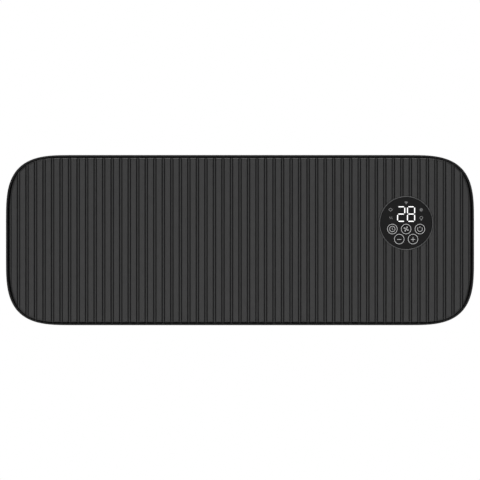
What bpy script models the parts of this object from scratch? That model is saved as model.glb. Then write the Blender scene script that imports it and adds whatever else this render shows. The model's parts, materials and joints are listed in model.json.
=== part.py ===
"""Wall-mounted fan heater with a fluted front panel, modelled as separate named parts.

Metres, +Z up. The front faces -Y and the wall is the plane y = 0. The origin is the centre of the
wall bracket's back face. X runs along the heater's length, to the right as seen from the room.
"""

import math

import bmesh
import bpy
from mathutils import Matrix, Vector

MM = 0.001

# Driving dimensions of the case
WIDTH = 550 * MM
HEIGHT = 200 * MM
DEPTH = 118 * MM
CORNER_REACH = 77.5 * MM        # length of side that each rounded corner takes up
CORNER_POWER = 3.2              # exponent of the superellipse corner: 2 would be a circle
CORNER_STEPS = 9
WALL = 2.4 * MM
GAP = 0.3 * MM                  # clearance between pieces that touch
PARTING = -48 * MM              # plane where the front housing meets the rear cover
RIM_FRONT = -116.5 * MM
BACK = -2.6 * MM                # outer face of the rear cover
BACK_ROUND = 8 * MM
BACK_DRAFT = 1.5 * MM

# Fluted front panel
RIB_PITCH = 10 * MM
RIB_COUNT = 54
RIB_LAND = 6 * MM               # flat top of a rib
RIB_BASE = 8.4 * MM             # foot of a rib
GROOVE_DEPTH = 1.8 * MM
PANEL_WIDTH = 540.5 * MM
PANEL_HEIGHT = 193.2 * MM
PANEL_CORNER = 68 * MM
PANEL_BACK = -114 * MM
PANEL_EDGE = 2 * MM             # radius of the panel's front edge, all the way round
SEAT_INSET = 14 * MM            # inner edge of the flange that the panel rests on

# Round control panel
CONTROL = Vector((195 * MM, 0, 20 * MM))
CONTROL_HOLE = 31.9 * MM
BEZEL_RADIUS = 31.6 * MM
LENS_RADIUS = 30.4 * MM
BUTTONS = [(-16.2, -7.0), (0, -7.0), (16.2, -7.0), (-8.1, -18.8), (8.1, -18.8)]   # mm from its centre
ROUND_STEPS = 40

# Airway: intake through the top, cross-flow fan, heating element, outlet at the bottom
DUCT_HALF = 152 * MM            # inner face of each end cheek
CHEEK = 2 * MM
DUCT_WALL = 2 * MM
SEAT_RIB = 1.6 * MM             # ribs that hold the lower ends of the duct walls
FAN = Vector((0, -58 * MM, 28 * MM))
FAN_RADIUS = 29 * MM
FAN_HALF = 146 * MM
BLADES = 16
DISCS = 3                       # both ends and the middle
SHAFT_RADIUS = 3 * MM
MOUTH_FRONT = -98 * MM
MOUTH_REAR = -58 * MM
MOUTH_HALF = 150 * MM
LOUVRE = Vector((0, -78 * MM, -84 * MM))
LOUVRE_CHORD = 38 * MM
INTAKE_HALF = 170 * MM
INTAKE_FRONT = -98 * MM
INTAKE_REAR = -52 * MM
TRAY_LIP = 88 * MM              # top of the ledge that the filter cassette rests on

# Wall bracket and the slots it hooks into
HOOK_X = 70 * MM
HOOK_Z = 20 * MM
HOOK_RISE = 11.5 * MM
SHEET = 1.5 * MM
SLOT_HEIGHT = 14 * MM

# Power switch, cord entry, circuit board and case screws
SWITCH = Vector((267 * MM, -28 * MM, 0))
ROCKER_TILT = math.radians(9)
CORD = Vector((215 * MM, -26 * MM, 0))
CORD_SHELF = -92 * MM
BOARD_LEFT = 170 * MM
BOARD_RIGHT = 244 * MM
BOARD_FRONT = -30 * MM
BOARD_BACK = -28.4 * MM
SCREW_SPOTS = [(sx * 260 * MM, sz * 40 * MM) for sx in (-1, 1) for sz in (-1, 1)]

COLOURS = {
    "charcoal_plastic": ((0.052, 0.052, 0.054), 0.5, 0.0),
    "case_plastic": ((0.03, 0.03, 0.031), 0.6, 0.0),
    "black_plastic": ((0.02, 0.02, 0.021), 0.45, 0.0),
    "lens_black": ((0.012, 0.012, 0.013), 0.08, 0.0),
    "bezel_metal": ((0.25, 0.25, 0.26), 0.3, 0.9),
    "filter_mesh": ((0.08, 0.08, 0.085), 0.8, 0.0),
    "steel": ((0.55, 0.56, 0.58), 0.3, 1.0),
    "aluminium": ((0.75, 0.76, 0.78), 0.35, 1.0),
    "brass": ((0.72, 0.52, 0.22), 0.3, 1.0),
    "copper_winding": ((0.55, 0.24, 0.1), 0.4, 0.6),
    "rubber": ((0.03, 0.03, 0.03), 0.85, 0.0),
    "board_green": ((0.02, 0.16, 0.07), 0.5, 0.0),
    "white_plastic": ((0.8, 0.8, 0.78), 0.5, 0.0),
    "led_white": ((0.95, 0.97, 1.0), 0.3, 0.0),
    "cable_grey": ((0.3, 0.3, 0.31), 0.6, 0.0),
}


# ---------------------------------------------------------------- scene, materials and placing

def clear_scene():
    for item in list(bpy.context.scene.objects):
        bpy.data.objects.remove(item, do_unlink=True)


def material(slot):
    found = bpy.data.materials.get(slot)
    if found:
        return found
    colour, roughness, metallic = COLOURS[slot]
    made = bpy.data.materials.new(slot)
    made.use_nodes = True
    shader = made.node_tree.nodes["Principled BSDF"]
    shader.inputs["Base Color"].default_value = (*colour, 1)
    shader.inputs["Roughness"].default_value = roughness
    shader.inputs["Metallic"].default_value = metallic
    made.diffuse_color = (*colour, 1)
    return made


def empty(name, location, parent=None):
    made = bpy.data.objects.new(name, None)
    made.empty_display_size = 20 * MM
    bpy.context.scene.collection.objects.link(made)
    made.location = location
    if parent:
        made.parent = parent
        made.location = Vector(location) - parent.matrix_world.translation
    bpy.context.view_layer.update()
    return made


def new_object(name, bm):
    """An object at the world origin that holds the bmesh, with its faces pointing out."""
    bmesh.ops.recalc_face_normals(bm, faces=bm.faces)
    mesh = bpy.data.meshes.new(name)
    bm.to_mesh(mesh)
    bm.free()
    made = bpy.data.objects.new(name, mesh)
    bpy.context.scene.collection.objects.link(made)
    return made


def piece(name, source, slot, parent, origin=None):
    """Finishes one sub-part: material, shading, an origin at a sensible point, and a parent."""
    made = source if isinstance(source, bpy.types.Object) else new_object(name, source)
    made.name = name
    corners = [Vector(corner) for corner in made.bound_box]
    centre = sum(corners, Vector()) / len(corners)
    pivot = Vector(origin) if origin is not None else centre
    made.data.transform(Matrix.Translation(-pivot))
    made.data.materials.clear()
    made.data.materials.append(material(slot))
    made.data.shade_smooth()
    made.data.set_sharp_from_angle(angle=math.radians(30))
    made.parent = parent
    made.location = pivot - (parent.matrix_world.translation if parent else Vector())
    return made


def combine(target, tool, operation):
    """Applies one exact Boolean of a tool, given as a bmesh or an object, to the target."""
    helper = tool if isinstance(tool, bpy.types.Object) else new_object("tool", tool)
    modifier = target.modifiers.new("Boolean", "BOOLEAN")
    modifier.object = helper
    modifier.operation = operation
    modifier.solver = "EXACT"
    bpy.context.view_layer.update()
    evaluated = target.evaluated_get(bpy.context.evaluated_depsgraph_get())
    mesh = bpy.data.meshes.new_from_object(evaluated)
    target.modifiers.clear()
    target.data = mesh
    bpy.data.objects.remove(helper, do_unlink=True)


def cut(target, tool):
    combine(target, tool, "DIFFERENCE")


def fuse(target, tool):
    combine(target, tool, "UNION")


# ---------------------------------------------------------------- outlines and solids

def circle(first, second, radius, steps=24):
    turns = [2 * math.pi * step / steps for step in range(steps)]
    return [(first + radius * math.cos(a), second + radius * math.sin(a)) for a in turns]


def rounded_outline(width, height, reach, steps=CORNER_STEPS):
    """(x, z) points round a rectangle whose corners are superellipse arcs."""
    points = []
    for side_x, side_z, rising in ((1, 1, True), (-1, 1, False), (-1, -1, True), (1, -1, False)):
        for step in range(steps + 1):
            part = step / steps if rising else 1 - step / steps
            angle = part * math.pi / 2
            along_x = max(math.cos(angle), 0) ** (2 / CORNER_POWER)
            along_z = math.sin(angle) ** (2 / CORNER_POWER)
            x = side_x * (width / 2 - reach + reach * along_x)
            z = side_z * (height / 2 - reach + reach * along_z)
            points.append((x, z))
    return points


def case_outline(inset):
    return rounded_outline(WIDTH - 2 * inset, HEIGHT - 2 * inset, CORNER_REACH - inset)


def place(point, axis, along):
    """Puts a 2-D point, given in the plane across the axis, at a distance along the axis."""
    first, second = point
    if axis == "X":
        return (along, first, second)
    if axis == "Y":
        return (first, along, second)
    return (first, second, along)


def loft(bm, loops, ring=False):
    """Skins a stack of loops. A ring joins its last loop to its first, anything else gets caps."""
    rows = [[bm.verts.new(point) for point in loop] for loop in loops]
    pairs = list(zip(rows, rows[1:]))
    if ring:
        pairs.append((rows[-1], rows[0]))
    for low, high in pairs:
        count = len(low)
        for i in range(count):
            j = (i + 1) % count
            bm.faces.new((low[i], low[j], high[j], high[i]))
    if not ring:
        bm.faces.new(rows[0])
        bm.faces.new(rows[-1])
    return bm


def prism(outline, axis, low, high, bm=None):
    target = bm or bmesh.new()
    return loft(target, [[place(p, axis, along) for p in outline] for along in (low, high)])


def box(low, high, bm=None):
    outline = [(low[0], low[1]), (high[0], low[1]), (high[0], high[1]), (low[0], high[1])]
    return prism(outline, "Z", low[2], high[2], bm)


def centred_box(centre, size, bm=None):
    half = Vector(size) / 2
    return box(Vector(centre) - half, Vector(centre) + half, bm)


def turned(axis, centre, profile, steps=24, ring=True, bm=None):
    """Revolves (radius, distance along the axis) points round an axis through centre."""
    across = {"X": (1, 2), "Y": (0, 2), "Z": (0, 1)}[axis]
    first, second = centre[across[0]], centre[across[1]]
    loops = []
    for radius, along in profile:
        loops.append([place(p, axis, along) for p in circle(first, second, radius, steps)])
    return loft(bm or bmesh.new(), loops, ring)


def rod(axis, centre, radius, low, high, steps=24, bm=None):
    return turned(axis, centre, [(radius, low), (radius, high)], steps, False, bm)


def tube(axis, centre, outer, inner, low, high, steps=24):
    profile = [(outer, low), (outer, high), (inner, high), (inner, low)]
    return turned(axis, centre, profile, steps)


def sheet_outline(line, thickness):
    """Closed outline of a bent sheet of even thickness, whose middle follows the 2-D line."""
    points = [Vector(point) for point in line]
    left, right = [], []
    for i, point in enumerate(points):
        before = (point - points[i - 1]).normalized() if i else None
        after = (points[i + 1] - point).normalized() if i + 1 < len(points) else None
        before = before or after
        after = after or before
        side = Vector((-(before + after).y, (before + after).x)).normalized()
        reach = thickness / 2 / max(side.dot(Vector((-after.y, after.x))), 0.5)
        left.append(point + side * reach)
        right.append(point - side * reach)
    return [tuple(p) for p in left] + [tuple(p) for p in reversed(right)]


def smooth_path(points, steps=3):
    """Catmull-Rom curve through the points, with a few steps for each stretch."""
    knots = [Vector(point) for point in points]
    padded = [2 * knots[0] - knots[1]] + knots + [2 * knots[-1] - knots[-2]]
    path = []
    for a, b, c, d in zip(padded, padded[1:], padded[2:], padded[3:]):
        for step in range(steps):
            t = step / steps
            bend = (2 * a - 5 * b + 4 * c - d) * t * t + (3 * b - a - 3 * c + d) * t ** 3
            path.append((2 * b + (c - a) * t + bend) / 2)
    return path + [knots[-1]]


def lead(name, points, radius, parent):
    """An insulated lead, as a round curve through points given in millimetres."""
    path = smooth_path([Vector(point) * MM for point in points])
    curve = bpy.data.curves.new(name, "CURVE")
    curve.dimensions = "3D"
    curve.bevel_depth = radius
    curve.bevel_resolution = 2
    curve.use_fill_caps = True
    curve.materials.append(material("cable_grey"))
    spline = curve.splines.new("POLY")
    spline.points.add(len(path) - 1)
    for target, spot in zip(spline.points, path):
        target.co = (*spot, 1)
    made = bpy.data.objects.new(name, curve)
    bpy.context.scene.collection.objects.link(made)
    made.parent = parent
    made.location = -parent.matrix_world.translation


# ---------------------------------------------------------------- case

def make_front_panel(parent):
    floor_y = -DEPTH + GROOVE_DEPTH
    line = [(-PANEL_WIDTH / 2, floor_y)]
    for i in range(RIB_COUNT):
        middle = (i - (RIB_COUNT - 1) / 2) * RIB_PITCH
        line += [(middle - RIB_BASE / 2, floor_y), (middle - RIB_LAND / 2, -DEPTH)]
        line += [(middle + RIB_LAND / 2, -DEPTH), (middle + RIB_BASE / 2, floor_y)]
    line += [(PANEL_WIDTH / 2, floor_y), (PANEL_WIDTH / 2, PANEL_BACK), (-PANEL_WIDTH / 2, PANEL_BACK)]
    panel = new_object("panel", prism(line, "Z", -PANEL_HEIGHT, PANEL_HEIGHT))
    combine(panel, panel_body(), "INTERSECT")
    for side in (-1, 1):
        for x in (-120 * MM, 0, 120 * MM):
            fuse(panel, panel_clip(x, side))
    cut(panel, rod("Y", CONTROL, CONTROL_HOLE, -2 * DEPTH, 0, ROUND_STEPS))
    piece("front_panel", panel, "charcoal_plastic", parent)


def panel_body():
    """The panel without its grooves: a plate with rounded corners and a rounded front edge."""
    loops = []
    steps = 2
    for step in range(steps + 1):
        angle = step / steps * math.pi / 2
        inset = PANEL_EDGE * (1 - math.sin(angle))
        front = PANEL_EDGE * (1 - math.cos(angle)) - DEPTH - 0.02 * MM
        outline = rounded_outline(PANEL_WIDTH - 2 * inset, PANEL_HEIGHT - 2 * inset, PANEL_CORNER - inset)
        loops.append([place(point, "Y", front) for point in outline])
    loops.append([place(point, "Y", 0) for point in outline])
    return loft(bmesh.new(), loops)


def panel_clip(x, side):
    """Barbed hook on the panel's back that grips the edge of the housing's flange."""
    edge = HEIGHT / 2 - SEAT_INSET - GAP
    catch = -111.7 * MM + GAP
    profile = [(PANEL_BACK - 1 * MM, edge - 2 * MM), (PANEL_BACK - 1 * MM, edge), (catch, edge)]
    profile += [(catch, edge + 1.5 * MM), (-107 * MM, edge), (-107 * MM, edge - 2 * MM)]
    outline = [(y, side * z) for y, z in profile]
    return prism(outline, "X", x - 6 * MM, x + 6 * MM)


def make_front_housing(parent):
    """Rim, side walls and the flange behind the panel, as one closed section swept round the case.

    The air outlet is cut in its floor, between two ribs that hold the ends of the duct walls.
    """
    lap = PARTING + 3 * MM
    seat_front, seat_back = PANEL_BACK + GAP, -111.7 * MM
    section = [(0.5 * MM, RIM_FRONT + 0.15 * MM), (0, RIM_FRONT + 0.9 * MM), (0, PARTING)]
    section += [(WALL / 2, PARTING), (WALL / 2, lap), (WALL, lap), (WALL, seat_back)]
    section += [(SEAT_INSET, seat_back), (SEAT_INSET, seat_front), (WALL, seat_front)]
    section += [(WALL, RIM_FRONT + 0.6 * MM), (WALL - 0.7 * MM, RIM_FRONT)]
    loops = [[place(p, "Y", y) for p in case_outline(inset)] for inset, y in section]
    housing = new_object("housing", loft(bmesh.new(), loops, ring=True))
    cut_intake(housing)
    cut(housing, box((-MOUTH_HALF, MOUTH_FRONT, -HEIGHT), (MOUTH_HALF, MOUTH_REAR, -90 * MM)))
    for front in (MOUTH_FRONT - DUCT_WALL - GAP - SEAT_RIB, MOUTH_REAR + DUCT_WALL + GAP):
        fuse(housing, box((-MOUTH_HALF, front, (WALL - HEIGHT) / 2),
                          (MOUTH_HALF, front + SEAT_RIB, -88 * MM)))
    for x, z in SCREW_SPOTS:
        fuse(housing, rod("Y", (x, 0, z), 4.5 * MM, seat_back - 1 * MM, BOARD_FRONT, 12))
        cut(housing, rod("Y", (x, 0, z), 1.6 * MM, -60 * MM, 0, 12))
    piece("front_housing", housing, "case_plastic", parent)


def cut_intake(housing):
    """Tray in the top wall that the filter cassette drops into, with a ledge all round."""
    side, lip = 2 * MM, 3 * MM
    fuse(housing, box((-INTAKE_HALF - side, INTAKE_FRONT - side, TRAY_LIP - side),
                      (INTAKE_HALF + side, INTAKE_REAR + side, HEIGHT / 2 - 1.4 * MM)))
    cut(housing, box((-INTAKE_HALF, INTAKE_FRONT, TRAY_LIP), (INTAKE_HALF, INTAKE_REAR, HEIGHT)))
    cut(housing, box((-INTAKE_HALF + lip, INTAKE_FRONT + lip, 0),
                     (INTAKE_HALF - lip, INTAKE_REAR - lip, HEIGHT)))


def make_rear_cover(parent):
    lap = PARTING + 3 * MM + GAP
    outer = [(0.3 * MM, PARTING + GAP), (BACK_DRAFT, BACK - BACK_ROUND)]
    for step in range(1, 6):
        angle = step / 5 * math.pi / 2
        inset = BACK_DRAFT + BACK_ROUND * (1 - math.cos(angle))
        outer.append((inset, BACK - BACK_ROUND * (1 - math.sin(angle))))
    inner = [(BACK_DRAFT + BACK_ROUND, BACK - WALL), (BACK_DRAFT + WALL, BACK - BACK_ROUND)]
    inner += [(WALL + 0.3 * MM, lap), (WALL / 2 - GAP, lap), (WALL / 2 - GAP, PARTING + GAP)]
    loops = [[place(p, "Y", y) for p in case_outline(inset)] for inset, y in reversed(outer)]
    loops += [[place(p, "Y", y) for p in case_outline(inset)] for inset, y in reversed(inner)]
    cover = new_object("cover", loft(bmesh.new(), loops))
    for x, z in SCREW_SPOTS:
        add_screw_pillar(cover, x, z)
    for x in (BOARD_LEFT + 4 * MM, BOARD_RIGHT - 4 * MM):
        for z in (-56 * MM, 56 * MM):
            fuse(cover, rod("Y", (x, 0, z), 3 * MM, BOARD_BACK + GAP, BACK - WALL / 2, 12))
    for x in (-HOOK_X, HOOK_X):
        top = HOOK_Z + SHEET + GAP
        cut(cover, box((x - 11 * MM, -9 * MM, top - SLOT_HEIGHT), (x + 11 * MM, 0, top)))
    cut_switch_recess(cover)
    cut_cord_recess(cover)
    cut(cover, rear_vents())
    piece("rear_cover", cover, "case_plastic", parent)


def add_screw_pillar(cover, x, z):
    """Hollow pillar whose deep well takes the screw's head."""
    fuse(cover, rod("Y", (x, 0, z), 5.2 * MM, BOARD_FRONT + GAP, BACK - WALL / 2, 12))
    cut(cover, rod("Y", (x, 0, z), 4 * MM, -24 * MM, 0, 12))
    cut(cover, rod("Y", (x, 0, z), 2.1 * MM, -60 * MM, 0, 12))


def cut_switch_recess(cover):
    """Flat recess in the right side wall, with the opening that the switch snaps into."""
    x, y = 264 * MM, SWITCH.y
    fuse(cover, box((x, y - 12 * MM, -19 * MM), (272 * MM, y + 12 * MM, 19 * MM)))
    cut(cover, box((269 * MM, y - 10.5 * MM, -17.5 * MM), (WIDTH, y + 10.5 * MM, 17.5 * MM)))
    cut(cover, box((x - 5 * MM, y - 7.3 * MM, -14.3 * MM), (WIDTH, y + 7.3 * MM, 14.3 * MM)))


def cut_cord_recess(cover):
    """Pocket in the bottom wall, so that the cord gland stays inside the case's outline."""
    shelf = CORD_SHELF
    fuse(cover, centred_box((CORD.x, CORD.y, shelf - 1 * MM), (28 * MM, 28 * MM, 6 * MM)))
    cut(cover, box((CORD.x - 12 * MM, CORD.y - 12 * MM, -HEIGHT), (CORD.x + 12 * MM, CORD.y + 12 * MM, shelf)))
    cut(cover, rod("Z", CORD, 6 * MM, -HEIGHT, 0, 24))


def rear_vents():
    """Cooling slots behind the motor and the electronics."""
    slots = bmesh.new()
    for side in (-1, 1):
        for i in range(8):
            x = side * (186 + 7 * i) * MM
            box((x - 1.5 * MM, -10 * MM, -48 * MM), (x + 1.5 * MM, 5 * MM, -20 * MM), slots)
    return slots


def make_case_screws(parent):
    for i, (x, z) in enumerate(SCREW_SPOTS, 1):
        profile = [(1.3 * MM, -44 * MM), (1.3 * MM, -23.7 * MM), (3.6 * MM, -23.7 * MM)]
        profile += [(3.6 * MM, -21.7 * MM), (2.4 * MM, -21 * MM)]
        piece(f"case_screw_{i}", turned("Y", (x, 0, z), profile, 16, False), "steel", parent)


# ---------------------------------------------------------------- control panel

def make_control_panel(parent):
    back, front = PANEL_BACK + GAP, -DEPTH
    piece("control_lens", rod("Y", CONTROL, LENS_RADIUS, -117.5 * MM, -115.5 * MM, ROUND_STEPS),
          "lens_black", parent)
    inner, shelf = LENS_RADIUS + GAP, 28.5 * MM
    profile = [(BEZEL_RADIUS, front), (inner, front), (inner, -115.2 * MM), (shelf, -115.2 * MM)]
    profile += [(shelf, -113.2 * MM), (BEZEL_RADIUS, -113.2 * MM)]
    piece("lens_bezel", turned("Y", CONTROL, profile, ROUND_STEPS), "bezel_metal", parent)
    holder = new_object("holder", display_cup(back))
    cut(holder, rod("Y", CONTROL - Vector((0, 0, 15 * MM)), 3.4 * MM, -110 * MM, -90 * MM, 16))
    piece("display_housing", holder, "black_plastic", parent)
    piece("display_board", rod("Y", CONTROL, 30 * MM, -106.6 * MM, -105 * MM, 32), "board_green", parent)
    centre = CONTROL + Vector((0, -111.05 * MM, 10.7 * MM))
    piece("led_display", centred_box(centre, (26 * MM, 8.3 * MM, 21 * MM)), "led_white", parent)
    for i, (dx, dz) in enumerate(BUTTONS, 1):
        spot = CONTROL + Vector((dx * MM, 0, dz * MM))
        spring = tube("Y", spot, 3.5 * MM, 2.7 * MM, -115.2 * MM, -106.9 * MM, 16)
        piece(f"touch_spring_{i}", spring, "steel", parent)


def display_cup(front):
    """Round cup that holds the display board behind the panel, open to the front."""
    outer, inner = 34 * MM, BEZEL_RADIUS + GAP
    profile = [(inner, -104.7 * MM), (inner, front), (outer, front), (outer, -102.7 * MM)]
    return turned("Y", CONTROL, profile, ROUND_STEPS, ring=False)


# ---------------------------------------------------------------- filter cassette

def make_filter_cassette(parent):
    half_x, front, rear = INTAKE_HALF - GAP, INTAKE_FRONT + GAP, INTAKE_REAR - GAP
    base, top = TRAY_LIP + GAP, HEIGHT / 2
    wall, lip = 2 * MM, 4 * MM
    grille = new_object("grille", box((-half_x, front, base), (half_x, rear, top)))
    cut(grille, box((-half_x + wall, front + wall, base + 1.7 * MM),
                    (half_x - wall, rear - wall, top - WALL)))
    cut(grille, box((-half_x + lip, front + lip, 0), (half_x - lip, rear - lip, base + 3 * MM)))
    cut(grille, grille_slots(front + 5 * MM, rear - 5 * MM, top))
    piece("intake_grille", grille, "case_plastic", parent)
    inside = wall + GAP
    mesh = box((-half_x + inside, front + inside, base + 2 * MM),
               (half_x - inside, rear - inside, base + 3.5 * MM))
    piece("dust_filter", mesh, "filter_mesh", parent)


def grille_slots(front, rear, top):
    """Two banks of slots with a plain bar between them, where a finger lifts the cassette."""
    slots = bmesh.new()
    pitch, width = 7.5 * MM, 4 * MM
    for side in (-1, 1):
        for i in range(19):
            x = side * (24 * MM + i * pitch)
            box((x - width / 2, front, top - 5 * MM), (x + width / 2, rear, 2 * top), slots)
    box((-14 * MM, front + 4 * MM, top - 5 * MM), (14 * MM, rear - 4 * MM, 2 * top), slots)
    return slots


# ---------------------------------------------------------------- airway

def scroll_line():
    """Middle line (y, z) of the sheet behind the fan: a spiral that opens towards the outlet."""
    line = [(-51 * MM, TRAY_LIP - 2.8 * MM)]
    steps = 12
    for step in range(steps + 1):
        angle = math.radians(55 - 110 * step / steps)
        radius = (34 + 11 * step / steps) * MM
        line.append((FAN.y + radius * math.cos(angle), FAN.z + radius * math.sin(angle)))
    rear = MOUTH_REAR + DUCT_WALL / 2
    return line + [(rear, -45 * MM), (rear, -HEIGHT / 2 + WALL + GAP)]


def tongue_line():
    """Middle line (y, z) of the sheet in front of the fan, folded in to a tongue near the blades."""
    front = MOUTH_FRONT - DUCT_WALL / 2
    line = [(front, -HEIGHT / 2 + WALL + GAP), (front, -25 * MM), (-97 * MM, -2 * MM)]
    return line + [(-91.5 * MM, 14 * MM), (-98 * MM, 30 * MM), (-99 * MM, TRAY_LIP - 2.3 * MM)]


def make_airway(parent):
    length = DUCT_HALF - GAP
    scroll = prism(sheet_outline(scroll_line(), DUCT_WALL), "X", -length, length)
    piece("fan_scroll", scroll, "black_plastic", parent)
    tongue = prism(sheet_outline(tongue_line(), DUCT_WALL), "X", -length, length)
    piece("duct_front_wall", tongue, "black_plastic", parent)
    for side, name in ((-1, "left"), (1, "right")):
        make_cheek(parent, side, name)


def make_cheek(parent, side, name):
    """End wall of the airway, with holes for the fan shaft, the louvre's pivot and the terminals."""
    inner, outer = side * DUCT_HALF, side * (DUCT_HALF + CHEEK)
    low, high = min(inner, outer), max(inner, outer)
    past_low, past_high = low - 2 * MM, high + 2 * MM
    bottom, top = -HEIGHT / 2 + WALL + GAP, TRAY_LIP - 2.3 * MM
    cheek = new_object("cheek", box((low, -104 * MM, bottom), (high, -18 * MM, top)))
    cut(cheek, box((past_low, -52 * MM, -HEIGHT), (past_high, 0, bottom + 3 * MM)))
    cut(cheek, rod("X", FAN, 8 * MM, past_low, past_high, 20))
    cut(cheek, rod("X", LOUVRE, 3 * MM, past_low, past_high, 16))
    if side > 0:
        cut(cheek, box((past_low, -92 * MM, -49 * MM), (past_high, -64 * MM, -41 * MM)))
    piece(f"duct_cheek_{name}", cheek, "black_plastic", parent)


def make_guard_grille(parent):
    half_x = DUCT_HALF - GAP
    front, rear = MOUTH_FRONT + GAP, MOUTH_REAR - GAP
    guard = new_object("guard", box((-half_x, front, -62 * MM), (half_x, rear, -59 * MM)))
    slots = bmesh.new()
    for i in range(20):
        x = (i - 9.5) * 15 * MM
        for y in (front + 3 * MM, (front + rear) / 2 + 1 * MM):
            box((x - 6.3 * MM, y, -70 * MM), (x + 6.3 * MM, y + 15.7 * MM, -50 * MM), slots)
    cut(guard, slots)
    piece("guard_grille", guard, "black_plastic", parent)


# ---------------------------------------------------------------- fan and motor

def impeller_blades():
    """Forward-curved blades as thin bent strips, all round the axis."""
    strips = bmesh.new()
    for i in range(BLADES):
        base = 2 * math.pi * i / BLADES
        line = []
        for part in (0, 0.5, 1):
            radius = (22.5 + 6 * part) * MM
            angle = base + 0.3 * part * part
            line.append((FAN.y + radius * math.cos(angle), FAN.z + radius * math.sin(angle)))
        prism(sheet_outline(line, 1.2 * MM), "X", -FAN_HALF + 1 * MM, FAN_HALF - 1 * MM, strips)
    return strips


def make_impeller(parent):
    discs = bmesh.new()
    spacing = 2 * (FAN_HALF - 1 * MM) / (DISCS - 1)
    bore = SHAFT_RADIUS + GAP
    for i in range(DISCS):
        middle = -FAN_HALF + 1 * MM + i * spacing
        low, high = middle - 1 * MM, middle + 1 * MM
        profile = [(FAN_RADIUS, low), (FAN_RADIUS, high), (bore, high), (bore, low)]
        turned("X", FAN, profile, 32, bm=discs)
    impeller = new_object("impeller", discs)
    fuse(impeller, impeller_blades())
    piece("impeller", impeller, "black_plastic", parent, FAN)
    piece("fan_shaft", rod("X", FAN, SHAFT_RADIUS, -197.5 * MM, 161.5 * MM, 20), "steel", parent, FAN)
    rotor = tube("X", FAN, 14 * MM, bore, -193 * MM, -173 * MM, 32)
    piece("motor_rotor", rotor, "aluminium", parent, FAN)


def make_motor(parent):
    shell = new_object("can", rod("X", FAN, 28 * MM, -200 * MM, -168 * MM, 40))
    cut(shell, rod("X", FAN, 26 * MM, -198 * MM, -100 * MM, 40))
    piece("motor_can", shell, "steel", parent)
    stator = tube("X", FAN, 25.7 * MM, 14.5 * MM, -194 * MM, -172 * MM, 32)
    piece("motor_stator", stator, "copper_winding", parent)
    bore = SHAFT_RADIUS + GAP
    plate = tube("X", FAN, 27.9 * MM, bore, -167.7 * MM, -165.7 * MM, 32)
    piece("motor_end_plate", plate, "steel", parent)
    bracket = tube("X", FAN, 30 * MM, 8 * MM, -165.4 * MM, -163.4 * MM, 32)
    piece("motor_bracket", bracket, "steel", parent)
    for i in range(3):
        angle = math.pi / 2 + i * 2 * math.pi / 3
        spot = FAN + Vector((0, 22 * MM * math.cos(angle), 22 * MM * math.sin(angle)))
        grommet = tube("X", spot, 5 * MM, 2 * MM, -163.1 * MM, -154.3 * MM, 16)
        piece(f"motor_grommet_{i + 1}", grommet, "rubber", parent)
    piece("bearing_bush", tube("X", FAN, 6 * MM, bore, 154.5 * MM, 161.5 * MM, 24), "brass", parent)
    holder = tube("X", FAN, 12 * MM, 6.3 * MM, 154.3 * MM, 161 * MM, 24)
    piece("bearing_holder", holder, "rubber", parent)


# ---------------------------------------------------------------- heating element

def make_heating_element(parent):
    front, rear, low, high = -96 * MM, -60 * MM, -52 * MM, -38 * MM
    half = 140 * MM
    core = new_object("core", box((-half, front, low), (half, rear, high)))
    slots = bmesh.new()
    for i in range(36):
        x = (i - 17.5) * 7.5 * MM
        for y in (front + 2 * MM, front + 19 * MM):
            box((x - 2.8 * MM, y, 2 * low), (x + 2.8 * MM, y + 15 * MM, 0), slots)
    cut(core, slots)
    piece("ptc_core", core, "aluminium", parent)
    for side, name in ((-1, "left"), (1, "right")):
        middle = side * (half + GAP + DUCT_HALF - GAP) / 2
        size = (DUCT_HALF - half - 2 * GAP, rear - front, high - low)
        centre = (middle, (front + rear) / 2, (low + high) / 2)
        piece(f"ptc_holder_{name}", centred_box(centre, size), "white_plastic", parent)
    for y, name in ((-86 * MM, "live"), (-70 * MM, "neutral")):
        tab = centred_box((159 * MM, y, -45 * MM), (14 * MM, 6.3 * MM, 0.8 * MM))
        piece(f"ptc_terminal_{name}", tab, "brass", parent)
    low_x = DUCT_HALF + CHEEK + GAP
    profile = [(9 * MM, low_x), (9 * MM, low_x + 1.5 * MM), (7 * MM, low_x + 1.5 * MM), (7 * MM, low_x + 7 * MM)]
    cutout = turned("X", (0, -80 * MM, -20 * MM), profile, 24, False)
    piece("thermal_cutout", cutout, "black_plastic", parent)
    fuse_link = rod("Y", (low_x + 2.2 * MM, 0, -58 * MM), 2 * MM, -86 * MM, -72 * MM, 12)
    piece("thermal_fuse", fuse_link, "white_plastic", parent)


# ---------------------------------------------------------------- louvre

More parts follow.
